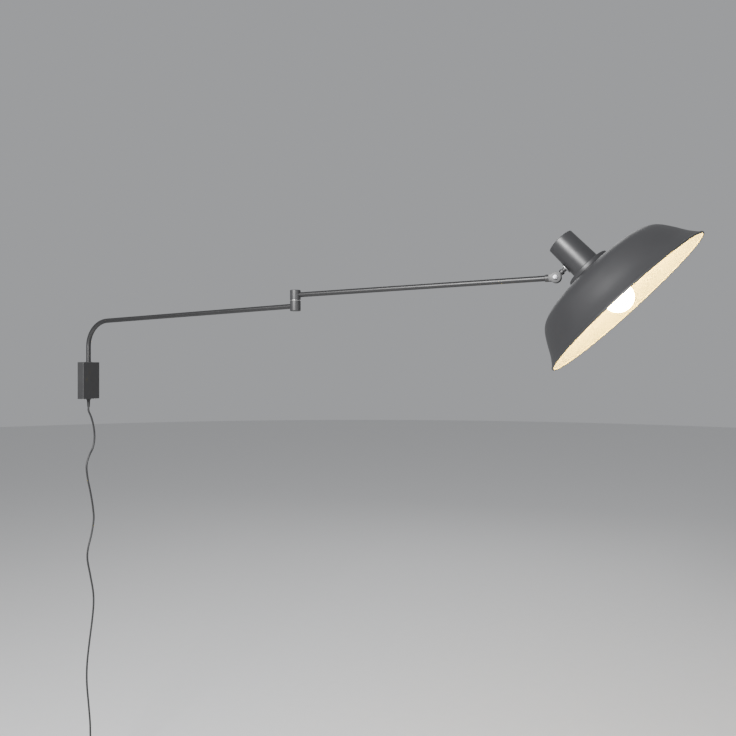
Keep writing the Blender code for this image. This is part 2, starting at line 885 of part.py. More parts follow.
SLEEVE_BORE = SLEEVE_RADIUS - SLEEVE_WALL
BOLT_HEAD_RADIUS = SLEEVE_BORE - BOLT_HEAD_CLEARANCE
TUBE_TO_AXIS = SLEEVE_BORE + 2 * GAP  # a tube ends this far from the elbow's axis, inside the wall
SEAM = ELBOW_STEP / 2 - ELBOW_WASHER_THICK / 2 - GAP  # from an arm's line to its sleeve's inner face
WIRE_OFFSET = TUBE_RADIUS - TUBE_WALL - WIRE_RADIUS - GAP
BOLT_TOP = ELBOW_STEP - SEAM + SLEEVE_FLOOR + SPRING_WASHER_THICK + NUT_THICK + 4 * GAP


def lower_arm():
    tube = line(
        "lower_arm_tube",
        lower_route(0.0, TUBE_END, ELBOW_REACH - TUBE_TO_AXIS),
        TUBE_RADIUS,
        SWIVEL,
        4,
        hollow=TUBE_WALL,
    )
    paint(tube, ANTHRACITE, 0.55)

    top = BLOCK_LOW - GAP
    middle = top - STOP_RING_HEIGHT / 2
    stop = ring(
        "stop_ring",
        TUBE_HOLE,
        TUBE_HOLE + STOP_RING_WALL,
        top - STOP_RING_HEIGHT,
        top,
        SWIVEL,
    )
    hole = cutting_rod(
        "stop_ring_hole",
        SET_SCREW_RADIUS + GAP,
        TUBE_RADIUS / 2,
        TUBE_HOLE + STOP_RING_WALL + CUT,
        SWIVEL,
        shift(z=middle) @ ALONG_X,
        SMALL,
    )
    cut(stop, hole)
    paint(stop, ZINC, 0.35, 1.0)
    grub = rod(
        "stop_ring_screw",
        SET_SCREW_RADIUS,
        TUBE_RADIUS + GAP,
        TUBE_HOLE + STOP_RING_WALL,
        SWIVEL,
        shift(z=middle) @ ALONG_X,
        SMALL,
    )
    paint(grub, BLACK, 0.4, 1.0)

    wire_end = ELBOW_REACH - SLEEVE_BORE
    route = lower_route(WIRE_OFFSET, TUBE_END - TERMINAL_DROP + GAP, wire_end)
    low = route[-1][2]
    turn_radius = SLEEVE_BORE - 0.002
    for i in range(7):
        angle = math.radians(90) * i / 6
        route.append(
            (
                ELBOW_REACH - turn_radius * (1 - math.sin(angle)),
                0.0,
                low + turn_radius * (1 - math.cos(angle)),
            )
        )
    route.append((ELBOW_REACH, 0.0, LOWER_LINE_HEIGHT + BOLT_TOP - 0.002))
    wire = line("lower_arm_wire", route, WIRE_RADIUS, SWIVEL, 2)
    paint(wire, BLACK, 0.5)


def sleeve(name, parent, up, tube_side):
    """Elbow sleeve: a cup whose closed end faces the other sleeve.

    up is +1 when the open end is upwards, and tube_side is the X side on which the tube enters.
    """
    closed = -SEAM
    opened = SLEEVE_HEIGHT - SEAM
    floor = closed + SLEEVE_FLOOR
    bolt = BOLT_RADIUS + GAP
    outline = [
        (SLEEVE_BORE, opened),
        (SLEEVE_RADIUS - SLEEVE_EDGE, opened),
        (SLEEVE_RADIUS, opened - SLEEVE_EDGE),
        (SLEEVE_RADIUS, closed + SLEEVE_EDGE),
        (SLEEVE_RADIUS - SLEEVE_EDGE, closed),
        (bolt, closed),
        (bolt, floor),
        (SLEEVE_BORE, floor),
    ]
    if up < 0:
        outline = [(r, -z) for r, z in reversed(outline)]
    made = turned(name, outline, parent, steps=FINE)
    lean = Matrix.Rotation(-LOWER_RISE if tube_side < 0 else -UPPER_RISE, 4, "Y")
    side = math.radians(90) * tube_side
    hole = cutting_rod(
        name + "_tube_hole",
        TUBE_HOLE,
        SLEEVE_BORE / 2,
        SLEEVE_RADIUS + CUT,
        parent,
        lean @ Matrix.Rotation(side, 4, "Y"),
    )
    cut(made, hole)
    paint(made, ANTHRACITE, 0.5)


def elbow_cap(name, parent, up):
    outer = up * (SLEEVE_HEIGHT - SEAM - CAP_RECESS)
    inner = outer - up * CAP_THICK
    low, high = sorted((inner, outer))
    made = rod(name, SLEEVE_BORE - GAP, low, high, parent, sides=FINE)
    paint(made, ANTHRACITE, 0.55)


def elbow():
    sleeve("elbow_lower_sleeve", ELBOW_LOW, -1, -1)
    sleeve("elbow_upper_sleeve", ELBOW_UP, 1, 1)
    elbow_cap("elbow_lower_cap", ELBOW_LOW, -1)
    elbow_cap("elbow_upper_cap", ELBOW_UP, 1)

    seat = SEAM - SLEEVE_FLOOR - GAP
    outline = (
        (BOLT_BORE, BOLT_TOP),
        (BOLT_RADIUS, BOLT_TOP),
        (BOLT_RADIUS, seat),
        (BOLT_HEAD_RADIUS, seat),
        (BOLT_HEAD_RADIUS, seat - BOLT_HEAD_THICK),
        (BOLT_BORE, seat - BOLT_HEAD_THICK),
    )
    bolt = turned("elbow_bolt", outline, ELBOW_LOW)
    paint(bolt, ZINC, 0.35, 1.0)

    washer = ring(
        "elbow_washer",
        BOLT_RADIUS + GAP,
        SLEEVE_RADIUS + ELBOW_WASHER_PROUD,
        SEAM + GAP,
        SEAM + GAP + ELBOW_WASHER_THICK,
        ELBOW_LOW,
        steps=FINE,
    )
    paint(washer, ZINC, 0.3, 1.0)

    floor = ELBOW_STEP - SEAM + SLEEVE_FLOOR
    spring = ring(
        "elbow_spring_washer",
        BOLT_RADIUS + GAP,
        BOLT_HEAD_RADIUS,
        floor + GAP,
        floor + GAP + SPRING_WASHER_THICK,
        ELBOW_LOW,
    )
    paint(spring, ZINC, 0.4, 1.0)
    nut_low = floor + 2 * GAP + SPRING_WASHER_THICK
    hex_nut("elbow_nut", BOLT_HEAD_RADIUS, BOLT_RADIUS, nut_low, nut_low + NUT_THICK, ELBOW_LOW)


def hex_nut(name, radius, bolt, low, high, parent, where=None):
    """Six-sided nut on local Z, bored to clear its bolt."""
    nut = rod(name, radius, low, high, parent, where, sides=6)
    hole = cutting_rod(
        name + "_hole", bolt + GAP, low - CUT, high + CUT, parent, where, 24
    )
    cut(nut, hole)
    paint(nut, ZINC, 0.35, 1.0)


# ---------------------------------------------------------------- upper arm

COLLAR_FAR = COLLAR_TO_PIVOT + COLLAR_LENGTH
CHEEK_INNER = TONGUE_THICK / 2 + FRICTION_WASHER_THICK + 2 * GAP
CHEEK_OUTER = CHEEK_INNER + FORK_CHEEK


def upper_arm():
    slope = math.tan(UPPER_RISE)
    start = TUBE_TO_AXIS
    end = UPPER_REACH - (COLLAR_FAR + GAP) * math.cos(UPPER_RISE)
    tube = line(
        "upper_arm_tube",
        [(x, 0.0, x * slope) for x in (start, end)],
        TUBE_RADIUS,
        ELBOW_UP,
        4,
        hollow=TUBE_WALL,
    )
    paint(tube, ANTHRACITE, 0.55)

    lie = -WIRE_OFFSET / math.cos(UPPER_RISE)
    rise = BOLT_TOP - ELBOW_STEP
    route = [
        (0.0, 0.0, rise),
        (0.0008, 0.0, rise + 0.0020),
        (0.0030, 0.0, rise + 0.0034),
        (0.0065, 0.0, rise + 0.0036),
        (TUBE_TO_AXIS + 0.004, 0.0, rise + 0.0018),
        (TUBE_TO_AXIS + 0.022, 0.0, lie + (TUBE_TO_AXIS + 0.022) * slope),
    ]
    finish = end - SPIGOT_LENGTH - 2 * GAP
    route.append((finish, 0.0, lie + finish * slope))
    wire = line("upper_arm_wire", route, WIRE_RADIUS, ELBOW_UP, 2)
    paint(wire, BLACK, 0.5)


def tilt_fork():
    """Collar and spigot in the tube's end, with two round cheeks around the head's tongue."""
    fork = rod("tilt_fork", COLLAR_RADIUS, -COLLAR_FAR, -COLLAR_TO_PIVOT, ARM_END, ALONG_X)
    neck = guide(
        block(
            "fork_neck",
            (-COLLAR_TO_PIVOT - 0.001, -CHEEK_OUTER, -FORK_NECK),
            (0.0, CHEEK_OUTER, FORK_NECK),
            ARM_END,
            home=GUIDES,
        )
    )
    discs = guide(
        rod(
            "fork_discs",
            FORK_DISC_RADIUS,
            -CHEEK_OUTER,
            CHEEK_OUTER,
            ARM_END,
            ALONG_Y,
            home=GUIDES,
        )
    )
    spigot = guide(
        rod(
            "fork_spigot",
            TUBE_RADIUS - TUBE_WALL - GAP,
            -COLLAR_FAR - SPIGOT_LENGTH,
            -COLLAR_TO_PIVOT - 0.001,
            ARM_END,
            ALONG_X,
            home=GUIDES,
        )
    )
    for shape in (neck, discs, spigot):
        fuse(fork, shape)
    room = FORK_DISC_RADIUS + 2 * GAP
    slot = cutting_block(
        "fork_slot",
        (-room, -CHEEK_INNER, -FORK_DISC_RADIUS - CUT),
        (FORK_DISC_RADIUS + CUT, CHEEK_INNER, FORK_DISC_RADIUS + CUT),
        ARM_END,
    )
    screw_hole = cutting_rod(
        "fork_screw_hole",
        TILT_SCREW_RADIUS + GAP,
        -CHEEK_OUTER - CUT,
        CHEEK_OUTER + CUT,
        ARM_END,
        ALONG_Y,
        24,
    )
    wire_hole = cutting_rod(
        "fork_wire_hole",
        WIRE_RADIUS + 2 * GAP,
        -COLLAR_FAR - SPIGOT_LENGTH - CUT,
        -FORK_DISC_RADIUS,
        ARM_END,
        ALONG_X,
        SMALL,
    )
    for tool in (slot, screw_hole, wire_hole):
        cut(fork, tool)
    paint(fork, ANTHRACITE, 0.5)


def tilt_fasteners():
    for name, side in (("tilt_washer_near", -1), ("tilt_washer_far", 1)):
        faces = sorted(side * (TONGUE_THICK / 2 + GAP + t) for t in (0, FRICTION_WASHER_THICK))
        washer = ring(
            name,
            TILT_SCREW_RADIUS + GAP,
            FRICTION_WASHER_RADIUS,
            *faces,
            ARM_END,
            ALONG_Y,
        )
        paint(washer, NYLON, 0.5)

    head = -CHEEK_OUTER - GAP
    nut_low = CHEEK_OUTER + GAP
    tip = nut_low + TILT_NUT_THICK + 3 * GAP
    outline = (
        (0, tip),
        (TILT_SCREW_RADIUS, tip),
        (TILT_SCREW_RADIUS, head),
        (TILT_HEAD_RADIUS, head),
        (TILT_HEAD_RADIUS, head - TILT_HEAD_THICK * 0.7),
        (TILT_HEAD_RADIUS - 0.0007, head - TILT_HEAD_THICK),
        (0, head - TILT_HEAD_THICK),
    )
    screw = turned("tilt_screw", outline, ARM_END, ALONG_Y, closed=False)
    slot = cutting_block(
        "tilt_screw_slot",
        (-TILT_HEAD_RADIUS - CUT, head - TILT_HEAD_THICK - CUT, -SLOT_WIDTH / 2),
        (TILT_HEAD_RADIUS + CUT, head - TILT_HEAD_THICK + SLOT_DEPTH, SLOT_WIDTH / 2),
        ARM_END,
        Matrix.Rotation(math.radians(35), 4, "Y"),
    )
    cut(screw, slot)
    paint(screw, ZINC, 0.35, 1.0)
    hex_nut(
        "tilt_nut",
        TILT_NUT_RADIUS,
        TILT_SCREW_RADIUS,
        nut_low,
        nut_low + TILT_NUT_THICK,
        ARM_END,
        ALONG_Y,
    )


# ---------------------------------------------------------------- link and stem

BARREL_END = BARREL_START + BARREL_LENGTH
SHOULDER = BARREL_END + NIPPLE_GROOVE


def cup_radius(height):
    """Outside radius of the cup at a height above the rim's plane."""
    share = (height - CUP_BASE) / (CUP_TOP - CUP_BASE)
    return CUP_BASE_RADIUS + share * (CUP_TOP_RADIUS - CUP_BASE_RADIUS)


CUP_SIDE = HEAD_OFFSET - max(
    cup_radius(STEM_HEIGHT + reach) for reach in (-CUP_WASHER_RADIUS, CUP_WASHER_RADIUS)
)


def head_link():
    """Flat tongue between the fork's cheeks, with a round barrel for the swivel nipple."""
    link = rod(
        "head_link", BARREL_RADIUS, BARREL_START, BARREL_END, TILT, ALONG_X
    )
    half = TONGUE_THICK / 2
    disc = guide(
        rod("link_disc", FORK_DISC_RADIUS - GAP, -half, half, TILT, ALONG_Y, home=GUIDES)
    )
    neck = guide(
        block(
            "link_neck",
            (0.0, -half, -BARREL_RADIUS * 0.8),
            (BARREL_START + 0.001, half, BARREL_RADIUS * 0.8),
            TILT,
            home=GUIDES,
        )
    )
    fuse(link, disc)
    fuse(link, neck)
    screw_hole = cutting_rod(
        "link_screw_hole",
        TILT_SCREW_RADIUS + GAP,
        -half - CUT,
        half + CUT,
        TILT,
        ALONG_Y,
        24,
    )
    bore = cutting_rod(
        "link_bore",
        NIPPLE_SPIGOT_RADIUS + GAP,
        BARREL_END - NIPPLE_SPIGOT_LENGTH - 2 * GAP,
        BARREL_END + CUT,
        TILT,
        ALONG_X,
        24,
    )
    screw_at = BARREL_START + BARREL_LENGTH / 2
    side_hole = cutting_rod(
        "link_side_hole",
        SET_SCREW_RADIUS + GAP,
        NIPPLE_SPIGOT_RADIUS / 2,
        BARREL_RADIUS + CUT,
        TILT,
        shift(x=screw_at),
        SMALL,
    )
    for tool in (screw_hole, bore, side_hole):
        cut(link, tool)
    paint(link, ANTHRACITE, 0.5)
    grub = rod(
        "link_set_screw",
        SET_SCREW_RADIUS,
        NIPPLE_SPIGOT_RADIUS + GAP,
        BARREL_RADIUS - GAP,
        TILT,
        shift(x=screw_at),
        SMALL,
    )
    paint(grub, BLACK, 0.4, 1.0)


def stem():
    """Nipple that turns in the link's barrel and is clamped through the cup's side."""
    washer_high = CUP_SIDE - GAP
    washer_low = washer_high - CUP_WASHER_THICK
    inner_radius = cup_radius(STEM_HEIGHT - LOCK_NUT_RADIUS) - SHEET
    nut_low = HEAD_OFFSET - math.sqrt(inner_radius**2 - LOCK_NUT_RADIUS**2) + GAP
    nut_low += CUP_BASE_RADIUS - CUP_TOP_RADIUS
    nut_high = nut_low + LOCK_NUT_THICK
    edge = 0.0005
    outline = (
        (0, nut_high + GAP),
        (NIPPLE_THREAD_RADIUS, nut_high + GAP),
        (NIPPLE_THREAD_RADIUS, washer_low - GAP),
        (NIPPLE_RADIUS - edge, washer_low - GAP),
        (NIPPLE_RADIUS, washer_low - GAP - edge),
        (NIPPLE_RADIUS, SHOULDER + edge),
        (NIPPLE_RADIUS - edge, SHOULDER),
        (NIPPLE_SPIGOT_RADIUS, SHOULDER),
        (NIPPLE_SPIGOT_RADIUS, BARREL_END - NIPPLE_SPIGOT_LENGTH),
        (0, BARREL_END - NIPPLE_SPIGOT_LENGTH),
    )
    nipple = turned("swivel_nipple", outline, TURN, ALONG_X, closed=False)
    paint(nipple, ANTHRACITE, 0.45)
    washer = ring(
        "cup_washer",
        NIPPLE_THREAD_RADIUS + GAP,
        CUP_WASHER_RADIUS,
        washer_low,
        washer_high,
        TURN,
        ALONG_X,
    )
    paint(washer, ZINC, 0.25, 1.0)
    hex_nut(
        "cup_lock_nut",
        LOCK_NUT_RADIUS,
        NIPPLE_THREAD_RADIUS,
        nut_low,
        nut_high,
        TURN,
        ALONG_X,
    )


# ---------------------------------------------------------------- head


def socket_cup():
    """Deep spun cup over the lamp holder, with a low domed top, bored for the stem."""
    dome = 4
    top = CUP_TOP + CUP_DOME

    def dome_points(radius, base, height):
        points = []
        for i in range(dome + 1):
            share = i / dome
            points.append((radius * share, base + height * (1 - share**2)))
        return points

    outer = dome_points(CUP_TOP_RADIUS - CUP_EDGE, CUP_TOP, CUP_DOME)
    outer.append((CUP_TOP_RADIUS - CUP_EDGE * 0.3, CUP_TOP - CUP_EDGE * 0.3))
    outer.append((CUP_TOP_RADIUS, CUP_TOP - CUP_EDGE))
    outer.append((CUP_BASE_RADIUS, CUP_BASE))
    inner = [(CUP_BASE_RADIUS - SHEET, CUP_BASE), (CUP_TOP_RADIUS - SHEET, CUP_TOP - SHEET)]
    inner.append((0.0, top - SHEET))
    cup = turned("socket_cup", [*outer, *inner], LAMP, closed=False, steps=FINE)
    hole = cutting_rod(
        "cup_side_hole",
        NIPPLE_THREAD_RADIUS + GAP,
        CUP_SIDE - CUT,
        HEAD_OFFSET - CUP_TOP_RADIUS / 2,
        TURN,
        ALONG_X,
        24,
    )
    cut(cup, hole)
    paint(cup, ANTHRACITE, 0.5)


def carrier():
    """Plate pressed into the cup, which carries the lamp holder on a threaded nipple."""
    low = HOLDER_BACK + GAP
    high = low + PLATE_THICK
    bolt = HOLDER_NIPPLE_RADIUS + GAP
    plate = ring(
        "carrier_plate",
        bolt,
        min(cup_radius(low), cup_radius(high)) - SHEET - GAP,
        low,
        high,
        LAMP,
        steps=FINE,
    )
    paint(plate, ZINC, 0.4, 1.0)
    nut_low = high + GAP
    nut_high = nut_low + NIPPLE_NUT_THICK
    hex_nut("nipple_nut", NIPPLE_NUT_RADIUS, HOLDER_NIPPLE_RADIUS, nut_low, nut_high, LAMP)
    nipple = ring(
        "holder_nipple",
        HOLDER_NIPPLE_BORE,
        HOLDER_NIPPLE_RADIUS,
        HOLDER_FLOOR + HOLDER_FLOOR_THICK + 0.010,
        nut_high + 0.003,
        LAMP,
    )
    paint(nipple, ZINC, 0.35, 1.0)


def lamp_holder():
    """Body with the lamp's bore, and a back cap around the terminals."""
    radius = HOLDER_RADIUS
    edge = 0.0010
    floor_top = HOLDER_FLOOR + HOLDER_FLOOR_THICK
    split = HOLDER_SPLIT - GAP / 2
    wall = 0.0022
    outline = (
        (radius - wall, split),
        (radius, split),
        (radius, HOLDER_MOUTH + edge),
        (radius - edge, HOLDER_MOUTH),
        (HOLDER_BORE, HOLDER_MOUTH),
        (HOLDER_BORE, HOLDER_FLOOR),
        (CONTACT_RIVET + GAP, HOLDER_FLOOR),
        (CONTACT_RIVET + GAP, floor_top),
        (radius - wall, floor_top),
    )
    body = turned("lamp_holder", outline, LAMP, steps=FINE)
    paint(body, BLACK, 0.35)
    split = HOLDER_SPLIT + GAP / 2
    bolt = HOLDER_NIPPLE_RADIUS + GAP
    outline = (
        (bolt, HOLDER_BACK),
        (radius - 0.004, HOLDER_BACK),
        (radius, HOLDER_BACK - 0.003),
        (radius, split),
        (radius - wall, split),
        (radius - wall, HOLDER_BACK - 0.003),
        (bolt, HOLDER_BACK - 0.003),
    )
    back = turned("holder_back", outline, LAMP, steps=FINE)
    paint(back, BLACK, 0.35)
    contact_top = floor_top + GAP + 2 * CONTACT_THICK
    outline = (
        (0, contact_top),
        (CONTACT_RADIUS * 0.6, contact_top),
        (CONTACT_RADIUS * 0.6, floor_top + GAP),
        (CONTACT_RIVET, floor_top + GAP),
        (CONTACT_RIVET, HOLDER_FLOOR - GAP),
        (CONTACT_RADIUS, HOLDER_FLOOR - GAP - CONTACT_THICK),
        (CONTACT_RADIUS, HOLDER_FLOOR - GAP - 3 * CONTACT_THICK),
        (0, HOLDER_FLOOR - GAP - 3 * CONTACT_THICK),
    )
    contact = turned("holder_contact", outline, LAMP, closed=False, steps=SMALL)
    paint(contact, BRASS, 0.3, 1.0)
    top = CROWN_HEIGHT - SHEET - GAP
    clamp = ring(
        "holder_ring",
        radius + GAP,
        HOLDER_RING_RADIUS,
        top - HOLDER_RING_THICK,
        top,
        LAMP,
        steps=FINE,
    )
    paint(clamp, BLACK, 0.35)


def shade_collar():
    """Raised ring between the shade's crown and the cup."""
    low = CROWN_HEIGHT + GAP
    high = CUP_BASE - GAP
    outline = (
        (HOLDER_RADIUS + GAP, high),
        (NECK_RADIUS - NECK_EDGE, high),
        (NECK_RADIUS, high - NECK_EDGE),
        (NECK_RADIUS, low),
        (NECK_RADIUS - NECK_SHEET, low),
        (NECK_RADIUS - NECK_SHEET, high - NECK_SHEET),
        (HOLDER_RADIUS + GAP, high - NECK_SHEET),
    )
    made = turned("shade_collar", outline, LAMP, steps=FINE)
    paint(made, ANTHRACITE, 0.5)


def inside_of(outline, thickness):
    """The outline moved inwards by the sheet's thickness, square to each stretch."""
    points = [Vector(p) for p in outline]
    moved = []
    for i, point in enumerate(points):
        before = points[max(i - 1, 0)]
        after = points[min(i + 1, len(points) - 1)]
        along = (after - before).normalized()
        moved.append(point + Vector((along.y, -along.x)) * thickness)
    return [tuple(p) for p in moved]


def shade():
    """Wide spun shade with a flat crown and a rolled lip."""
    hole = HOLDER_RADIUS + GAP
    outer = [(hole, CROWN_HEIGHT), (NECK_RADIUS + 0.001, CROWN_HEIGHT), *SHADE_OUTLINE]
    lip = []
    for i in range(5):
        angle = math.radians(90 - i * 60)
        lip.append(
            (
                RIM_RADIUS - LIP_RADIUS + LIP_RADIUS * math.cos(angle),
                LIP_RADIUS + LIP_RADIUS * math.sin(angle),
            )
        )
    inner = inside_of(SHADE_OUTLINE, SHEET)
    inner.reverse()
    crown = CROWN_HEIGHT - SHEET
    outline = [*outer, *lip, *inner, (NECK_RADIUS, crown), (hole, crown)]
    made = turned("shade", outline, LAMP, steps=SHADE_SIDES)
    paint(made, ANTHRACITE, 0.55)


def bulb():
    """Pear-shaped glass on a screw cap, screwed into the holder."""

    def glass_side(radius, neck):
        """Down the outside: the neck, its flare, then the round end."""
        points = [(neck, BULB_NECK), (neck, BULB_NECK - 0.006)]
        start = math.radians(40)
        shoulder_r = radius * math.cos(start)
        shoulder_z = BULB_CENTRE + radius * math.sin(start)
        slope = Vector((math.sin(start), -math.cos(start)))
        low = Vector((shoulder_r, shoulder_z))
        high = Vector(points[-1])
        reach = (high - low).length * 0.5
        pull_high = high - Vector((0, reach))
        pull_low = low - slope * reach
        for i in range(1, 5):
            t = i / 5
            spot = (
                high * (1 - t) ** 3
                + pull_high * 3 * t * (1 - t) ** 2
                + pull_low * 3 * t**2 * (1 - t)
                + low * t**3
            )
            points.append(tuple(spot))
        for i in range(BULB_STEPS):
            angle = start - (start + math.radians(90)) * i / BULB_STEPS
            points.append(
                (radius * math.cos(angle), BULB_CENTRE + radius * math.sin(angle))
            )
        points.append((0.0, BULB_CENTRE - radius))
        return points

    outer = glass_side(BULB_RADIUS, BULB_NECK_RADIUS)
    inner = glass_side(BULB_RADIUS - BULB_GLASS, BULB_NECK_RADIUS - BULB_GLASS)
    inner.reverse()
    glass = turned("bulb_glass", [*inner, *outer], LAMP, closed=False, steps=ROUND)
    paint(glass, OPAL, 0.2)

    low = BULB_NECK + GAP
    high = low + BULB_CAP_LENGTH
    groove = BULB_CAP_RADIUS - BULB_THREAD_DEPTH
    outline = [(0, high), (groove - 0.002, high), (groove, high - 0.002)]
    crest = high - 0.002 - BULB_THREAD_PITCH / 2
    while crest > low + BULB_THREAD_PITCH:
        outline.append((BULB_CAP_RADIUS, crest))
        outline.append((groove, crest - BULB_THREAD_PITCH / 2))
        crest -= BULB_THREAD_PITCH
    wall = 0.0010
    outline += [
        (BULB_CAP_RADIUS, low),
        (groove - wall, low),
        (groove - wall, high - 0.003),
        (0, high - 0.003),
    ]
    cap = turned("bulb_cap", outline, LAMP, closed=False)
    paint(cap, ZINC, 0.3, 1.0)
    foot = high + GAP
    top = HOLDER_FLOOR - 3 * CONTACT_THICK - 2 * GAP
    outline = (
        (0, top),
        (BULB_TIP_RADIUS * 0.7, top),
        (BULB_TIP_RADIUS, top - 0.0008),
        (groove - 0.003, foot),
        (0, foot),
    )
    tip = turned("bulb_contact", outline, LAMP, closed=False, steps=24)
    paint(tip, BLACK, 0.3)


# ---------------------------------------------------------------- assembly

wall_bracket()
wall_box()
pivot_block()
swivel_bushing()
terminal_block()
cord(cable_gland())
for label, way in (("left", -1), ("right", 1)):
    cap_screw(
        f"cover_screw_{label}",
        COVER_SCREW_LENGTH,
        WALL,
        shift(x=COVER_SCREW_X, y=way * COVER_SCREW_Y, z=-HALF_HEIGHT - GAP),
    )
lower_arm()
elbow()
upper_arm()
tilt_fork()
tilt_fasteners()
head_link()
stem()
socket_cup()
carrier()
lamp_holder()
shade_collar()
shade()
bulb()
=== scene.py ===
"""Looks of the swing arm wall sconce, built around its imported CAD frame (metres, +Z up)."""

import json
import math

import bmesh
import bpy
from mathutils import Matrix, Vector


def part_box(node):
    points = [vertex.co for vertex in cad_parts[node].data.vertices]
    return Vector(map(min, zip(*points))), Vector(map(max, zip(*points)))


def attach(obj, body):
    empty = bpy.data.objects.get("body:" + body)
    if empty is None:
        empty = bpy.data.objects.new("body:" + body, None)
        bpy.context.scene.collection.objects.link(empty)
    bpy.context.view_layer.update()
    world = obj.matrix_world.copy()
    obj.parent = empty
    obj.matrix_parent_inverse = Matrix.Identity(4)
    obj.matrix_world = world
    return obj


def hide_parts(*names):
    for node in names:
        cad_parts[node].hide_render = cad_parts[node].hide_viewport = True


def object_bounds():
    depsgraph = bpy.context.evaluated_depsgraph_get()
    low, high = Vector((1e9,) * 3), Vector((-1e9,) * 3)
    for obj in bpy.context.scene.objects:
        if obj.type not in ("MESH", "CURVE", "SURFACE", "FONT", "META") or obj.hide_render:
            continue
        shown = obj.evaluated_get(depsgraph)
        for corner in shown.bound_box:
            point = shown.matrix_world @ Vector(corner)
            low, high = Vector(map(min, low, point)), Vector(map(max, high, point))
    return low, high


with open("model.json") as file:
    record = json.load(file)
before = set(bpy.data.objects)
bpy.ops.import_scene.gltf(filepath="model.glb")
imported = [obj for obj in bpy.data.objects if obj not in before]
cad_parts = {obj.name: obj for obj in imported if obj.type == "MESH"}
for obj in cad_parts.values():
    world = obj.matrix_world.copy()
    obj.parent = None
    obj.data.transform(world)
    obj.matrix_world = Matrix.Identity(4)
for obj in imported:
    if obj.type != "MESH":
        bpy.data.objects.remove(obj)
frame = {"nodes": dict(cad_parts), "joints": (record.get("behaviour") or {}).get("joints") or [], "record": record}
cad_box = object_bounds()

# ---------------------------------------------------------------- camera

CAMERA_PLACE = (1.463, -1.464, 0.034)
CAMERA_TURN = math.radians(23)
LENS = 34.24
SENSOR_WIDTH = 36.0


def camera():
    """A level camera at the photograph's place, turned from square to the arms."""
    data = bpy.data.cameras.new("camera")
    data.lens = LENS
    data.sensor_width = SENSOR_WIDTH
    eye = bpy.data.objects.new("camera", data)
    eye.location = CAMERA_PLACE
    eye.rotation_euler = (math.radians(90), 0, CAMERA_TURN)
    bpy.context.scene.collection.objects.link(eye)
    bpy.context.scene.camera = eye


camera()

# ---------------------------------------------------------------- places, read from the frame

JOINTS = {joint["name"]: joint for joint in frame["joints"]}
ARM_AXIS = Vector(JOINTS["wall_swivel"]["pos_m"])
ELBOW = Vector(JOINTS["elbow_swivel"]["pos_m"])
KNUCKLE = Vector(JOINTS["head_tilt"]["pos_m"])
STEM = Vector(JOINTS["head_turn"]["axis"]).normalized()


def axes_frame(origin, z_way, x_way):
    """A matrix whose local Z and X point the given ways."""
    z_way = Vector(z_way).normalized()
    x_way = Vector(x_way).normalized()
    y_way = z_way.cross(x_way)
    turn = Matrix((x_way, y_way, z_way)).transposed().to_4x4()
    return Matrix.Translation(origin) @ turn


# Head frame: local X along the stem, local Z up the shade's axis, away from its rim
UP_SHADE = STEM.cross(Vector((0, 1, 0))).normalized()
HEAD = axes_frame(KNUCKLE, UP_SHADE, STEM)
ALONG_X = Matrix.Rotation(math.radians(90), 4, "Y")  # a lathe's axis, from Z to X
ALONG_Y = Matrix.Rotation(math.radians(-90), 4, "X")  # a lathe's axis, from Z to Y

# ---------------------------------------------------------------- sizes, as in the CAD

GAP = 0.0003  # between neighbouring pieces
TUBE_RADIUS = 0.006
BOX_HEIGHT = 0.100

BEND_RADIUS = 0.068
CORNER_HEIGHT = 0.1594  # where the lower arm's two straight lines would meet
LOWER_RISE = math.radians(1.95)
UPPER_RISE = math.radians(1.04)
SLEEVE_RADIUS = 0.0127
SLEEVE_HEIGHT = 0.0236
SLEEVE_WALL = 0.0031
ELBOW_STEP = 0.026  # between the two arms' lines at the elbow
WASHER_THICK = 0.0018

CORD_RADIUS = 0.0025
CORD_ROUTE = (
    (0.0110, 0.000, -0.0830),
    (0.0108, 0.009, -0.0990),
    (0.0104, 0.018, -0.1230),
    (0.0100, 0.023, -0.1550),
    (0.0096, 0.018, -0.1840),
    (0.0092, 0.004, -0.2070),
    (0.0090, -0.005, -0.2330),
    (0.0090, -0.001, -0.2680),
    (0.0092, 0.009, -0.3080),
    (0.0096, 0.017, -0.3480),
    (0.0100, 0.020, -0.3830),
    (0.0098, 0.012, -0.4230),
    (0.0094, 0.000, -0.4600),
    (0.0092, -0.002, -0.4900),
    (0.0094, 0.008, -0.5350),
    (0.0098, 0.018, -0.5830),
    (0.0102, 0.019, -0.6200),
    (0.0104, 0.013, -0.6650),
    (0.0106, 0.003, -0.7200),
    (0.0108, -0.005, -0.7750),
    (0.0110, -0.006, -0.8250),
    (0.0112, 0.000, -0.8850),
    (0.0114, 0.005, -0.9350),
    (0.0116, 0.006, -0.9700),
)
COIL_RADIUS = 0.0275
COIL_DROP = 0.0520  # from the end of the route to the coil's centre

# ---------------------------------------------------------------- materials

DRIFT_DETAIL = 6.0
DRIFT_ROUGHNESS = 0.65
DRIFT_RANGE = (0.30, 0.72)  # the part of the noise that the colours are spread over
PATCH_RATIO = 3.3  # patches of gloss are this much finer than the colour's drift
PATCH_DETAIL = 4.0
GRAIN_DETAIL = 3.0
GLOSS_SWING = 0.08
COAT_ROUGHNESS = 0.25


def socket(node, name, value):
    node.inputs[name].default_value = value


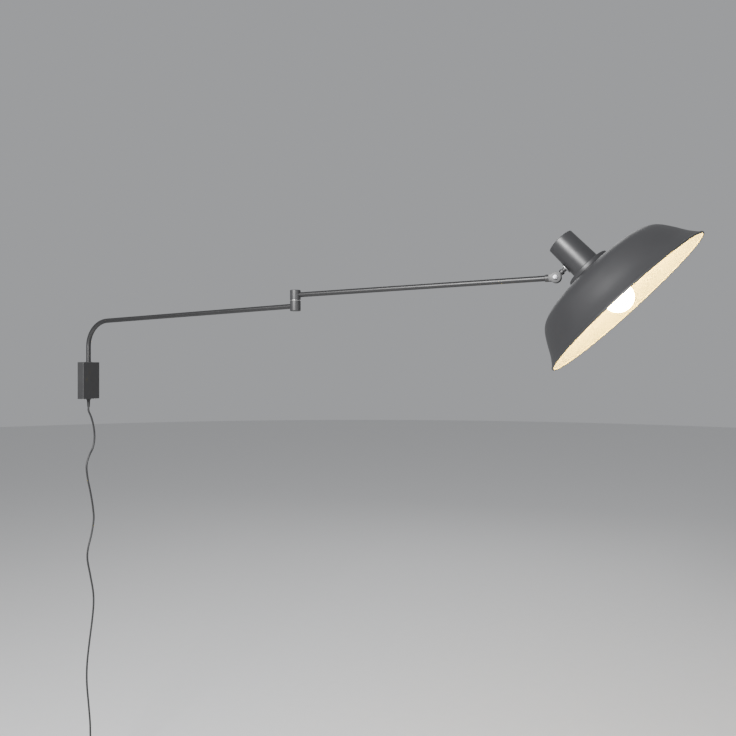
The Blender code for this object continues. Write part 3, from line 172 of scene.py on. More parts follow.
def surface(
    name,
    colour,
    roughness=0.5,
    metallic=0.0,
    mottle=0.06,
    mottle_scale=25.0,
    grain=900.0,
    grain_height=0.00003,
    brushed=None,
    coat=0.0,
):
    """A procedural finish: colour that drifts a little, uneven gloss and fine grain.

    mottle is how much the colour drifts, grain and grain_height are the relief's fineness and its
    height in metres, and brushed stretches the relief.
    """
    made = bpy.data.materials.new(name)
    made.use_nodes = True
    tree = made.node_tree
    nodes, link = tree.nodes, tree.links.new
    shader = nodes["Principled BSDF"]
    socket(shader, "Metallic", metallic)
    if coat:
        socket(shader, "Coat Weight", coat)
        socket(shader, "Coat Roughness", COAT_ROUGHNESS)
    place = nodes.new("ShaderNodeTexCoord")
    drift = nodes.new("ShaderNodeTexNoise")
    socket(drift, "Scale", mottle_scale)
    socket(drift, "Detail", DRIFT_DETAIL)
    socket(drift, "Roughness", DRIFT_ROUGHNESS)
    link(place.outputs["Object"], drift.inputs["Vector"])

    ramp = nodes.new("ShaderNodeValToRGB")
    dark, pale = ramp.color_ramp.elements
    dark.position, pale.position = DRIFT_RANGE
    dark.color = (*[c * (1 - mottle) for c in colour], 1)
    pale.color = (*[min(1, c * (1 + mottle)) for c in colour], 1)
    link(drift.outputs["Fac"], ramp.inputs["Fac"])
    link(ramp.outputs["Color"], shader.inputs["Base Color"])

    gloss = nodes.new("ShaderNodeMapRange")
    socket(gloss, "To Min", max(0.02, roughness - GLOSS_SWING))
    socket(gloss, "To Max", min(1.0, roughness + GLOSS_SWING))
    patches = nodes.new("ShaderNodeTexNoise")
    socket(patches, "Scale", mottle_scale * PATCH_RATIO)
    socket(patches, "Detail", PATCH_DETAIL)
    link(place.outputs["Object"], patches.inputs["Vector"])
    link(patches.outputs["Fac"], gloss.inputs["Value"])
    link(gloss.outputs["Result"], shader.inputs["Roughness"])

    fine = nodes.new("ShaderNodeTexNoise")
    socket(fine, "Scale", grain)
    socket(fine, "Detail", GRAIN_DETAIL)
    vector = place.outputs["Object"]
    if brushed:
        stretch = nodes.new("ShaderNodeMapping")
        socket(stretch, "Scale", brushed)
        link(vector, stretch.inputs["Vector"])
        vector = stretch.outputs["Vector"]
    link(vector, fine.inputs["Vector"])
    bump = nodes.new("ShaderNodeBump")
    socket(bump, "Strength", 1.0)
    socket(bump, "Distance", grain_height)
    link(fine.outputs["Fac"], bump.inputs["Height"])
    link(bump.outputs["Normal"], shader.inputs["Normal"])
    return made


def glowing(name, colour, light, strength):
    """Opal glass lit from inside."""
    made = surface(name, colour, 0.18, grain=400.0, grain_height=0.000004, mottle=0.01)
    shader = made.node_tree.nodes["Principled BSDF"]
    socket(shader, "Emission Color", (*light, 1))
    socket(shader, "Emission Strength", strength)
    return made


def coating(name, colour, roughness, **detail):
    """Powder coat or lacquer, with a finer grain than the other finishes."""
    return surface(name, colour, roughness, **{"grain": 1300.0, "mottle": 0.06, **detail})


POWDER = coating(
    "powder_coat", (0.026, 0.026, 0.027), 0.46, mottle=0.07, grain=1500.0, grain_height=0.00005
)
# Painted shade: the arm tubes carry a darker copy of the same powder coat as the box and sleeves, darkened to how
# dark the thin tubes look under the light
SHADED_TUBE_POWDER = coating(
    "powder_coat_tube_painted_shade", (0.012, 0.012, 0.0126), 0.40, mottle=0.07, grain=1500.0
)
SHADE_DARK = (0.024, 0.024, 0.0255)
SHADE_OUT = coating(
    "shade_coat_outside", SHADE_DARK, 0.44, mottle_scale=9.0, grain_height=0.00004
)
CUP_COAT = coating("cup_coat", SHADE_DARK, 0.40)
SHADE_IN = coating(
    "shade_coat_inside", (0.95, 0.85, 0.42), 0.48, mottle=0.02, mottle_scale=9.0
)
BRIGHT = surface(
    "bright_steel",
    (0.60, 0.60, 0.59),
    0.30,
    1.0,
    mottle=0.10,
    grain=500.0,
    grain_height=0.00001,
    brushed=(1, 1, 8),
)
GUNMETAL = surface(
    "burnished_screw", (0.10, 0.10, 0.105), 0.30, 1.0, mottle=0.20, grain_height=0.00001
)
ZINC = surface("zinc_steel", (0.50, 0.50, 0.49), 0.38, 1.0, mottle=0.15, grain_height=0.00001)
ALLOY = surface("block_alloy", (0.55, 0.55, 0.54), 0.40, 1.0, grain_height=0.00001)
BRASS = surface("brass", (0.72, 0.52, 0.25), 0.30, 1.0, mottle=0.12, grain_height=0.00001)
NYLON = surface("nylon", (0.030, 0.030, 0.031), 0.42, grain_height=0.00002)
PLASTIC = surface(
    "black_plastic", (0.019, 0.019, 0.020), 0.46, grain=1100.0, grain_height=0.00005
)
SHEATH = surface("cord_sheath", (0.018, 0.018, 0.019), 0.48, mottle=0.12, grain=1000.0)
THERMOSET = surface(
    "holder_plastic", (0.020, 0.019, 0.018), 0.28, grain_height=0.00001, coat=0.3
)
TERMINAL = surface("terminal_plastic", (0.74, 0.73, 0.69), 0.45)
LAMP_CAP = surface("lamp_cap", (0.68, 0.68, 0.66), 0.26, 1.0, grain_height=0.00001)
INSULATOR = surface("cap_insulator", (0.018, 0.018, 0.018), 0.20, grain_height=0.00001)
OPAL = glowing("opal_glass", (0.96, 0.93, 0.86), (1.0, 0.72, 0.25), 165.0)

# ---------------------------------------------------------------- making pieces

MERGE_DISTANCE = 0.0000005
SMOOTH_ANGLE = 32.0


def finished(thing, material, body):
    """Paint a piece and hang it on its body."""
    if material is not None:
        thing.data.materials.append(material)
    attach(thing, body)
    return thing


def link_mesh(name, shape, where=None, angle=SMOOTH_ANGLE):
    """Turn a bmesh into an object, smooth up to an angle between faces."""
    bmesh.ops.remove_doubles(shape, verts=shape.verts, dist=MERGE_DISTANCE)
    bmesh.ops.recalc_face_normals(shape, faces=shape.faces)
    data = bpy.data.meshes.new(name)
    shape.to_mesh(data)
    shape.free()
    if where is not None:
        data.transform(where)
    data.shade_smooth()
    data.set_sharp_from_angle(angle=math.radians(angle))
    thing = bpy.data.objects.new(name, data)
    bpy.context.scene.collection.objects.link(thing)
    return thing


def filleted(points, radius, closed=False, steps=4, least=math.radians(20)):
    """Round the corners of a flat outline that turn by more than the least angle."""
    spots = [Vector(p) for p in points]
    count = len(spots)
    result = []
    for i, corner in enumerate(spots):
        if not closed and i in (0, count - 1):
            result.append(corner)
            continue
        before, after = spots[i - 1] - corner, spots[(i + 1) % count] - corner
        if before.length < 1e-9 or after.length < 1e-9:
            result.append(corner)
            continue
        turn = math.pi - before.angle(after)
        if turn < least:
            result.append(corner)
            continue
        reach = min(radius * math.tan(turn / 2), before.length * 0.45, after.length * 0.45)
        start = corner + before.normalized() * reach
        end = corner + after.normalized() * reach
        for k in range(steps + 1):
            t = k / steps
            result.append(start * (1 - t) ** 2 + corner * 2 * t * (1 - t) + end * t**2)
    return [tuple(p) for p in result]


def lathe(name, outline, where, closed=True, steps=96, angle=SMOOTH_ANGLE):
    """Turn an outline of (radius, height) about local Z."""
    shape = bmesh.new()
    rows = [shape.verts.new((r, 0, z)) for r, z in outline]
    edges = [shape.edges.new(pair) for pair in zip(rows, rows[1:])]
    if closed:
        edges.append(shape.edges.new((rows[-1], rows[0])))
    bmesh.ops.spin(
        shape,
        geom=[*rows, *edges],
        cent=(0, 0, 0),
        axis=(0, 0, 1),
        angle=math.radians(360),
        steps=steps,
        use_merge=True,
    )
    return link_mesh(name, shape, where, angle)


def plate(name, outline, thickness, where, edge=0.0004, segments=3):
    """A flat outline in local X and Z, made thick along local Y, with rounded edges."""
    shape = bmesh.new()
    base = shape.faces.new([shape.verts.new((x, -thickness / 2, z)) for x, z in outline])
    grown = bmesh.ops.extrude_face_region(shape, geom=[base])
    moved = [g for g in grown["geom"] if isinstance(g, bmesh.types.BMVert)]
    bmesh.ops.translate(shape, vec=(0, thickness, 0), verts=moved)
    bmesh.ops.recalc_face_normals(shape, faces=shape.faces)
    rim = [e for e in shape.edges if e.calc_face_angle(0) > math.radians(50)]
    bmesh.ops.bevel(
        shape, geom=rim, offset=edge, segments=segments, affect="EDGES", profile=0.5
    )
    return link_mesh(name, shape, where)


def rounded_block(name, low, high, edge, where, segments=4):
    """A box with rounded edges."""
    low, high = Vector(low), Vector(high)
    shape = bmesh.new()
    bmesh.ops.create_cube(shape, size=1.0)
    bmesh.ops.scale(shape, vec=high - low, verts=shape.verts)
    bmesh.ops.translate(shape, vec=(low + high) / 2, verts=shape.verts)
    bmesh.ops.bevel(
        shape, geom=shape.edges[:], offset=edge, segments=segments, affect="EDGES", profile=0.5
    )
    return link_mesh(name, shape, where)


def tube(name, points, radius, resolution):
    """A round curve through the points, closed at both ends."""
    curve = bpy.data.curves.new(name, "CURVE")
    curve.dimensions = "3D"
    curve.bevel_depth = radius
    curve.bevel_resolution = resolution
    curve.use_fill_caps = True
    spline = curve.splines.new("POLY")
    spline.points.add(len(points) - 1)
    for spot, point in zip(spline.points, points):
        spot.co = (*point, 1.0)
    spline.use_smooth = True
    thing = bpy.data.objects.new(name, curve)
    bpy.context.scene.collection.objects.link(thing)
    return thing


def smooth_route(points, step):
    """Read evenly spaced points from a smooth curve through the given ones."""
    knots = [Vector(p) for p in points]
    knots = [2 * knots[0] - knots[1], *knots, 2 * knots[-1] - knots[-2]]
    parts = 40
    dense = []
    for a, b, c, d in zip(knots, knots[1:], knots[2:], knots[3:]):
        for i in range(parts):
            t = i / parts
            dense.append(
                0.5
                * (
                    2 * b
                    + (c - a) * t
                    + (2 * a - 5 * b + 4 * c - d) * t**2
                    + (3 * b - a - 3 * c + d) * t**3
                )
            )
    dense.append(knots[-2])
    total = sum((q - p).length for p, q in zip(dense, dense[1:]))
    count = max(2, round(total / step))
    spacing = total / count
    route = [dense[0]]
    walked = 0.0
    for p, q in zip(dense, dense[1:]):
        length = (q - p).length
        while len(route) < count and walked + length >= spacing * len(route):
            share = (spacing * len(route) - walked) / length
            route.append(p.lerp(q, share))
        walked += length
    route.append(dense[-1])
    return route


# ---------------------------------------------------------------- cord, coil, tie and plug

GLAND_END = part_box("cable_gland")[0].z
COIL_LAYER = CORD_RADIUS * 1.06  # from the bundle's middle to a layer of turns
COIL_COLUMN = CORD_RADIUS * 2.04  # between turns that lie side by side
TURN_POINTS = 28
# A stop is (turns so far, column, layer).  The turns move to the next slot between two stops.
COIL_STOPS = (
    (0.00, 0, 1),
    (0.55, 0, 1),
    (0.80, -1, 1),
    (1.50, -1, 1),
    (1.85, -1, -1),
    (2.30, -1, -1),
    (2.60, 0, -1),
    (3.30, 0, -1),
    (3.60, 1, -1),
    (4.70, 1, -1),
    (5.00, 1, -1),
)


def coil_turns(centre):
    """Points of the wound part, which winds from slot to slot of the bundle.

    The column is across the turns and the layer towards the room.  The angle starts level with the
    centre on the +Y side and runs downwards.
    """
    points = []
    for i in range(round(COIL_STOPS[-1][0] * TURN_POINTS) + 1):
        turns = i / TURN_POINTS
        for (t0, c0, l0), (t1, c1, l1) in zip(COIL_STOPS, COIL_STOPS[1:]):
            if t0 <= turns <= t1:
                share = (turns - t0) / (t1 - t0)
                share = share * share * (3 - 2 * share)
                column = c0 + (c1 - c0) * share
                layer = l0 + (l1 - l0) * share
        radius = COIL_RADIUS + column * COIL_COLUMN
        angle = turns * 2 * math.pi
        across = Vector((0, radius * math.cos(angle), -radius * math.sin(angle)))
        points.append(centre + Vector((layer * COIL_LAYER, 0, 0)) + across)
    return points


def cord():
    """The cord from inside the gland, down its route, round the coil and into the plug."""
    x, y, z = CORD_ROUTE[-1]
    centre = Vector((x, y - COIL_RADIUS, z - COIL_DROP))
    start = Vector((ARM_AXIS.x, 0.0, GLAND_END + 0.004))
    run = smooth_route([start, Vector((ARM_AXIS.x, 0, GLAND_END)), *CORD_ROUTE], 0.006)
    join = [
        Vector((x + COIL_LAYER * share, y, z + (centre.z - z) * step))
        for step, share in ((0.25, 0.15), (0.5, 0.5), (0.75, 0.85))
    ]
    neck_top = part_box("plug_body")[1].z
    tail = [
        Vector((x - COIL_LAYER * 0.8, y + 0.0042, centre.z - 0.010)),
        Vector((x - COIL_LAYER * 0.4, y + 0.0015, centre.z - 0.019)),
        Vector((x, y, neck_top)),
        Vector((x, y, neck_top - 0.004)),
    ]
    wound = smooth_route([run[-1], *join, *coil_turns(centre), *tail], 0.0045)
    flex = tube("flex_cord", [*run[:-1], *wound], CORD_RADIUS, 5)
    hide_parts("cord", "cord_coil")
    return finished(flex, SHEATH, "wall_unit")


PLUG_NECK_RADIUS = 0.0036
PLUG_NECK_LENGTH = 0.0120
PLUG_NECK_BORE = 0.0026
PLUG_RIBS = 5
PLUG_RIB_STEP = 0.0020
PIN_TIP = 0.0012  # length of the pin's rounded end


def plug_shell(low, high, where):
    """The flat body of the plug, waisted towards its neck."""
    foot = low.z - high.z
    half = (high.y - low.y) / 2
    waist = half * 0.72
    side = [
        (half, foot),
        (half, foot + 0.010),
        (waist, foot + 0.019),
        (waist * 0.92, -PLUG_NECK_LENGTH - 0.004),
        (PLUG_NECK_RADIUS * 1.5, -PLUG_NECK_LENGTH),
    ]
    other = [(-x, z) for x, z in reversed(side)]
    outline = filleted(
        [other[-1], *side, *other[:-1]], 0.004, closed=True, steps=5, least=math.radians(8)
    )
    turn = where @ Matrix.Rotation(math.radians(90), 4, "Z")
    thickness = high.x - low.x - 0.0002
    body = plate("plug_shell", outline, thickness, turn, edge=0.0028, segments=5)
    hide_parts("plug_body")
    return finished(body, PLASTIC, "wall_unit")


def plug_neck(where):
    """The ribbed strain relief on top of the plug."""
    profile = [(PLUG_NECK_BORE, 0.0)]
    for i in range(PLUG_RIBS):
        z = -0.0006 - i * PLUG_RIB_STEP
        wide = PLUG_NECK_RADIUS * (0.86 + 0.14 * i / PLUG_RIBS)
        groove = wide - 0.0006
        profile += [(wide, z), (wide, z - 0.0012), (groove, z - 0.0014), (groove, z - 0.0020)]
    flange = PLUG_NECK_RADIUS * 1.2
    under = -PLUG_NECK_LENGTH - 0.003
    profile += [(flange, -PLUG_NECK_LENGTH), (flange, under), (PLUG_NECK_BORE, under)]
    neck = lathe("plug_neck", profile, where, steps=40)
    return finished(neck, PLASTIC, "wall_unit")


def plug_pin(node):
    """A pin with a bright tip and a sleeved root."""
    low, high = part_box(node)
    centre = (low + high) / 2
    radius = (high.y - low.y) / 2
    length = high.z - low.z
    middle = -length * 0.5
    at = Matrix.Translation((centre.x, centre.y, high.z))
    tip_outline = [
        (0, middle),
        (radius, middle),
        (radius, -length + PIN_TIP),
        (radius * 0.72, -length + 0.0003),
        (0, -length),
    ]
    tip = lathe(node + "_metal", tip_outline, at, closed=False, steps=32)
    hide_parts(node)
    finished(tip, BRIGHT, "wall_unit")
    root_outline = [(0, 0.0), (radius, 0.0), (radius * 0.96, middle), (0, middle)]
    root = lathe(node + "_sleeve", root_outline, at, closed=False, steps=32)
    finished(root, PLASTIC, "wall_unit")
    return [tip, root]


def plug():
    """Slim flat plug with a ribbed neck and two sleeved pins."""
    low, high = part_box("plug_body")
    middle = (low + high) / 2
    where = Matrix.Translation((middle.x, middle.y, high.z))
    body = plug_shell(low, high, where)
    neck = plug_neck(where)
    return [body, neck, *plug_pin("plug_pin_left"), *plug_pin("plug_pin_right")]


flex = cord()
plug_pieces = plug()

# ---------------------------------------------------------------- head

# Heights on the lamp are measured from the rim's plane, up the shade's axis.
SHEET = 0.0012
HEAD_OFFSET = 0.057  # from the knuckle to the shade's axis
STEM_HEIGHT = 0.1365
LAMP = HEAD @ Matrix.Translation((HEAD_OFFSET, 0, -STEM_HEIGHT))
CROWN_HEIGHT = 0.0990
NECK_RADIUS = 0.0465
RIM_RADIUS = 0.1900
LIP_RADIUS = 0.0020
SHADE_OUTLINE = (
    (0.0490, 0.0987),
    (0.0720, 0.0936),
    (0.1025, 0.0890),
    (0.1215, 0.0848),
    (0.1380, 0.0775),
    (0.1495, 0.0665),
    (0.1610, 0.0480),
    (0.1735, 0.0240),
    (0.1825, 0.0105),
    (0.1875, 0.0040),
)
HOLDER_RADIUS = 0.0200
HOLDER_HOLE = HOLDER_RADIUS + GAP
HOLDER_BORE = 0.0146
HOLDER_MOUTH = 0.0660
HOLDER_FLOOR = 0.1000
HOLDER_FLOOR_THICK = 0.0030
HOLDER_SPLIT = 0.1080 - GAP / 2
HOLDER_SCREW_HOLE = 0.0019
RING_RADIUS = 0.0270
RING_DEPTH = 0.0060
RING_TEETH = 36
RING_TOP = CROWN_HEIGHT - SHEET - GAP
CUP_BASE = 0.1090
CUP_TOP = 0.1855
CUP_BASE_RADIUS = 0.0300
CUP_TOP_RADIUS = 0.0285
CUP_DOME = 0.0040
BULB_RADIUS = 0.0300
BULB_CENTRE = 0.0220
BULB_NECK = 0.0700
BULB_NECK_RADIUS = 0.0130


def lip_points():
    """The rolled lip, from the shade's outside round to its inside."""
    middle = RIM_RADIUS - LIP_RADIUS
    points = []
    for i in range(15):
        angle = math.radians(105 - i * 20)
        points.append(
            (middle + LIP_RADIUS * math.cos(angle), LIP_RADIUS + LIP_RADIUS * math.sin(angle))
        )
    return points


def is_inside(face, to_lamp):
    """Whether a face of the shade belongs to its pale inside."""
    spot = to_lamp @ face.center
    facing = to_lamp.to_3x3() @ face.normal
    out = Vector((spot.x, spot.y, 0)).normalized()
    lip_edge = RIM_RADIUS - LIP_RADIUS - 0.0012
    if math.hypot(spot.x, spot.y) > lip_edge and spot.z < 0.0045:
        return facing.dot(out) < -0.6
    if spot.z > 0.004:
        return facing.z < -0.05
    return facing.dot(out) < -0.35


def shade():
    """Spun shade: dark outside, pale inside, with a rolled lip."""
    flat = [Vector((r, z, 0)) for r, z in SHADE_OUTLINE]
    side = [Vector((p.x, p.y)) for p in smooth_route(flat, 0.0035)]
    inner = []
    for i, point in enumerate(side):
        along = (side[min(i + 1, len(side) - 1)] - side[max(i - 1, 0)]).normalized()
        inner.append(tuple(point + Vector((along.y, -along.x)) * SHEET))
    crown = filleted(
        [(HOLDER_HOLE, CROWN_HEIGHT), (NECK_RADIUS + 0.001, CROWN_HEIGHT), tuple(side[1])],
        0.002,
    )
    low_crown = CROWN_HEIGHT - SHEET
    outline = [
        *crown[:-1],
        *[tuple(p) for p in side[1:]],
        *lip_points(),
        *reversed(inner),
        (NECK_RADIUS, low_crown),
        (HOLDER_HOLE, low_crown),
    ]
    made = lathe("spun_shade", outline, LAMP, steps=224)
    made.data.materials.append(SHADE_OUT)
    made.data.materials.append(SHADE_IN)
    to_lamp = LAMP.inverted()
    for face in made.data.polygons:
        face.material_index = 1 if is_inside(face, to_lamp) else 0
    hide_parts("shade")
    finished(made, None, "head")


def cup_radius(height):
    """The cup narrows a little from its base to its top."""
    share = (height - CUP_BASE) / (CUP_TOP - CUP_BASE)
    return CUP_BASE_RADIUS - share * (CUP_BASE_RADIUS - CUP_TOP_RADIUS)


def cup():
    """Socket cup: a thin tapered sleeve with a slightly domed top."""
    crest_radius = CUP_TOP_RADIUS * 0.94
    crest = [
        (crest_radius * i / 8, CUP_TOP + CUP_DOME * (1 - (i / 8) ** 2)) for i in range(9)
    ]
    outline = [
        *crest,
        (CUP_TOP_RADIUS, CUP_TOP - 0.0009),
        (CUP_BASE_RADIUS, CUP_BASE + 0.0006),
        (CUP_BASE_RADIUS - 0.0004, CUP_BASE),
        (CUP_BASE_RADIUS - SHEET, CUP_BASE),
        (CUP_TOP_RADIUS - SHEET, CUP_TOP - SHEET - 0.001),
        (0, CUP_TOP + CUP_DOME - SHEET),
    ]
    rounded = filleted(outline, 0.0012, least=math.radians(25))
    made = lathe("cup_shell", rounded, LAMP, closed=False, steps=128, angle=40)
    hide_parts("socket_cup")
    finished(made, CUP_COAT, "head")


def neck_ring():
    """The collar between the shade's crown and the cup."""
    low, high = CROWN_HEIGHT + GAP, CUP_BASE - GAP
    outline = [
        (HOLDER_HOLE, high),
        (0.0320, high),
        (NECK_RADIUS - 0.0012, high - 0.0010),
        (NECK_RADIUS, high - 0.0024),
        (NECK_RADIUS, low),
        (NECK_RADIUS - 0.0015, low),
        (NECK_RADIUS - 0.0015, high - 0.0030),
        (HOLDER_HOLE, high - 0.0015),
    ]
    rounded = filleted(outline, 0.0010, closed=True)
    made = lathe("neck_ring", rounded, LAMP, steps=144)
    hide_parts("shade_collar")
    finished(made, CUP_COAT, "head")


def holder():
    """Lamp holder with a ribbed skirt."""
    wall = HOLDER_RADIUS - 0.0022
    groove = HOLDER_RADIUS - 0.0006
    outline = [(wall, HOLDER_SPLIT), (HOLDER_RADIUS, HOLDER_SPLIT)]
    z = RING_TOP - RING_DEPTH - 0.0008
    while z > HOLDER_MOUTH + 0.006:
        outline += [
            (HOLDER_RADIUS, z),
            (groove, z - 0.0012),
            (groove, z - 0.0016),
            (HOLDER_RADIUS, z - 0.0028),
        ]
        z -= 0.0034
    outline += [
        (HOLDER_RADIUS, HOLDER_MOUTH + 0.001),
        (HOLDER_RADIUS - 0.001, HOLDER_MOUTH),
        (HOLDER_BORE, HOLDER_MOUTH),
        (HOLDER_BORE, HOLDER_FLOOR),
        (HOLDER_SCREW_HOLE, HOLDER_FLOOR),
        (HOLDER_SCREW_HOLE, HOLDER_FLOOR + HOLDER_FLOOR_THICK),
        (wall, HOLDER_FLOOR + HOLDER_FLOOR_THICK),
    ]
    made = lathe("holder_body", outline, LAMP)
    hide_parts("lamp_holder")
    finished(made, THERMOSET, "head")


def clamp_ring():
    """The toothed ring that clamps the shade to the holder."""
    shape = bmesh.new()
    sections = []
    steps = RING_TEETH * 4
    for i in range(steps):
        angle = 2 * math.pi * i / steps
        c, s = math.cos(angle), math.sin(angle)
        outer = RING_RADIUS - (0.0008 if i % 4 == 0 else 0.0)
        profile = (
            (HOLDER_HOLE, RING_TOP),
            (outer - 0.0006, RING_TOP),
            (outer, RING_TOP - 0.0008),
            (outer, RING_TOP - 0.0052),
            (outer - 0.0008, RING_TOP - RING_DEPTH),
            (HOLDER_HOLE, RING_TOP - RING_DEPTH),
        )
        sections.append([shape.verts.new((r * c, r * s, z)) for r, z in profile])
    for this, following in zip(sections, sections[1:] + sections[:1]):
        for k in range(len(this)):
            n = (k + 1) % len(this)
            shape.faces.new((this[k], this[n], following[n], following[k]))
    made = link_mesh("holder_clamp_ring", shape, LAMP, 25)
    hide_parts("holder_ring")
    finished(made, THERMOSET, "head")


def bulb():
    """Pear-shaped opal bulb: a round end that flows into a narrow neck."""
    start = math.radians(40)
    low = Vector(
        (BULB_RADIUS * math.cos(start), BULB_CENTRE + BULB_RADIUS * math.sin(start))
    )
    high = Vector((BULB_NECK_RADIUS, BULB_NECK - 0.006))
    slope = Vector((math.sin(start), -math.cos(start)))
    reach = (high - low).length * 0.5
    points = [
        (0, BULB_NECK),
        (BULB_NECK_RADIUS - 0.001, BULB_NECK),
        (BULB_NECK_RADIUS, BULB_NECK - 0.001),
        tuple(high),
    ]
    for i in range(1, 16):
        t = i / 16
        spot = (
            high * (1 - t) ** 3
            + (high - Vector((0, reach))) * 3 * t * (1 - t) ** 2
            + (low - slope * reach) * 3 * t**2 * (1 - t)
            + low * t**3
        )
        points.append(tuple(spot))
    for i in range(36):
        angle = start - (start + math.radians(90)) * i / 36
        points.append(
            (BULB_RADIUS * math.cos(angle), BULB_CENTRE + BULB_RADIUS * math.sin(angle))
        )
    points.append((0, BULB_CENTRE - BULB_RADIUS))
    made = lathe("bulb_globe", points, LAMP, closed=False)
    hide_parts("bulb_glass")
    finished(made, OPAL, "head")


# Places along the stem, from the knuckle
BARREL_START = 0.0122
BARREL_END = 0.0192
BARREL_RADIUS = 0.0060
NIPPLE_START = 0.0200
NIPPLE_RADIUS = 0.0047
NIPPLE_BORE = 0.0030
CUP_WASHER_RADIUS = 0.0120
CUP_WASHER_THICK = 0.0013
CUP_SIDE = HEAD_OFFSET - max(
    cup_radius(STEM_HEIGHT + d) for d in (-CUP_WASHER_RADIUS, CUP_WASHER_RADIUS)
)
TONGUE_RADIUS = 0.0107
TONGUE_THICK = 0.0052
TONGUE_NECK = 0.0048


def link():
    """The link: a flat round tongue that carries a turned barrel."""
    outline = [
        (0, BARREL_END - 0.0002),
        (BARREL_RADIUS - 0.0004, BARREL_END),
        (BARREL_RADIUS, BARREL_END - 0.0005),
        (BARREL_RADIUS, BARREL_START + 0.0016),
        (BARREL_RADIUS - 0.0010, BARREL_START),
        (0, BARREL_START),
    ]
    barrel = lathe(
        "link_barrel", filleted(outline, 0.0004), HEAD @ ALONG_X, closed=False, steps=64
    )
    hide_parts("head_link")
    finished(barrel, POWDER, "head_link")

    opening = 27
    outline = [(BARREL_START + 0.001, TONGUE_NECK)]
    for i in range(29):
        angle = math.radians(opening + (360 - 2 * opening) * i / 28)
        outline.append((TONGUE_RADIUS * math.cos(angle), TONGUE_RADIUS * math.sin(angle)))
    outline.append((BARREL_START + 0.001, -TONGUE_NECK))
    tongue = plate("link_tongue", outline, TONGUE_THICK, HEAD, edge=0.0003)
    finished(tongue, POWDER, "head_link")


def stem():
    """Turned nipple and bright washer, on the stem's axis."""
    high = CUP_SIDE - GAP
    low = CUP_SIDE - GAP - CUP_WASHER_THICK
    outline = [
        (0, low - GAP),
        (NIPPLE_RADIUS - 0.0005, low - GAP),
        (NIPPLE_RADIUS, low - GAP - 0.0005),
        (NIPPLE_RADIUS, NIPPLE_START + 0.0005),
        (NIPPLE_RADIUS - 0.0005, NIPPLE_START),
        (NIPPLE_BORE, NIPPLE_START),
        (NIPPLE_BORE, BARREL_END - 0.004),
        (0, BARREL_END - 0.004),
    ]
    nipple = lathe(
        "stem_nipple", filleted(outline, 0.0003), HEAD @ ALONG_X, closed=False, steps=64
    )
    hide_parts("swivel_nipple")
    finished(nipple, POWDER, "head")
    outline = [
        (0.0043, high),
        (CUP_WASHER_RADIUS - 0.0002, high),
        (CUP_WASHER_RADIUS, low),
        (0.0043, low),
    ]
    washer = lathe("stem_washer", filleted(outline, 0.0003, closed=True), HEAD @ ALONG_X)
    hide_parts("cup_washer")
    finished(washer, BRIGHT, "head")


shade()
cup()
neck_ring()
holder()
clamp_ring()
bulb()
link()
stem()

# ---------------------------------------------------------------- arms and elbow

ARM_RESOLUTION = 10
BEND_STEPS = 40
SLEEVE_BORE = SLEEVE_RADIUS - SLEEVE_WALL
SLEEVE_FLOOR = 0.0042  # thickness of the sleeve's closed end
BOLT_HOLE = 0.0053
CAP_THICK = 0.0020
UPPER_LINE = ELBOW.z + ELBOW_STEP / 2
LOWER_LINE = ELBOW.z - ELBOW_STEP / 2
SEAM = ELBOW_STEP / 2 - WASHER_THICK / 2 - GAP  # from an arm's line to its sleeve's closed end


def lower_arm():
    """The tube that rises from the wall box, bends and runs out to the elbow."""
    turn = math.radians(90) - LOWER_RISE
    tangent = BEND_RADIUS * math.tan(turn / 2)
    centre = Vector((ARM_AXIS.x + BEND_RADIUS, 0, CORNER_HEIGHT - tangent))
    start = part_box("lower_arm_tube")[0].z
    points = [(ARM_AXIS.x, 0, start), (ARM_AXIS.x, 0, centre.z - 0.03)]
    for i in range(BEND_STEPS + 1):
        angle = math.radians(180) - turn * i / BEND_STEPS
        x = centre.x + BEND_RADIUS * math.cos(angle)
        points.append((x, 0, centre.z + BEND_RADIUS * math.sin(angle)))
    end = ELBOW.x - SLEEVE_BORE
    for share in (0.02, 0.5, 1.0):
        x = points[-1][0] + (end - points[-1][0]) * share
        points.append((x, 0, CORNER_HEIGHT + (x - ARM_AXIS.x) * math.tan(LOWER_RISE)))
    arm = tube("lower_tube", points, TUBE_RADIUS, ARM_RESOLUTION)
    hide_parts("lower_arm_tube")
    # painted shade: the tube's coat is darker than the same coat on the sleeves and box
    finished(arm, SHADED_TUBE_POWDER, "lower_arm")


def elbow_piece(name, node, outline, line_height, up, body, closed):
    """Turn an outline drawn for the upper arm, upside down where up is -1."""
    if up < 0:
        outline = [(r, -z) for r, z in reversed(outline)]
    where = Matrix.Translation((ELBOW.x, 0, line_height))
    made = lathe(name, outline, where, closed=closed)
    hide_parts(node)
    finished(made, POWDER, body)


def sleeve(name, node, line_height, up, body):
    """A sleeve: closed at the seam, open at the far end, where its cap sits."""
    low, high = -SEAM, SLEEVE_HEIGHT - SEAM
    outline = [
        (BOLT_HOLE, low),
        (SLEEVE_RADIUS - 0.0004, low),
        (SLEEVE_RADIUS, low + 0.0004),
        (SLEEVE_RADIUS, high - 0.0008),
        (SLEEVE_RADIUS - 0.0008, high),
        (SLEEVE_BORE, high),
        (SLEEVE_BORE, low + SLEEVE_FLOOR),
        (BOLT_HOLE, low + SLEEVE_FLOOR),
    ]
    rounded = filleted(outline, 0.0004, closed=True)
    elbow_piece(name, node, rounded, line_height, up, body, closed=True)


def elbow_cap(name, node, line_height, up, body):
    """The disc that closes a sleeve's open end."""
    radius = SLEEVE_BORE - GAP
    face = SLEEVE_HEIGHT - SEAM - 0.0003
    outline = [
        (0, face),
        (radius - 0.0004, face),
        (radius, face - 0.0006),
        (radius, face - CAP_THICK),
        (0, face - CAP_THICK),
    ]
    elbow_piece(name, node, filleted(outline, 0.0003), line_height, up, body, closed=False)


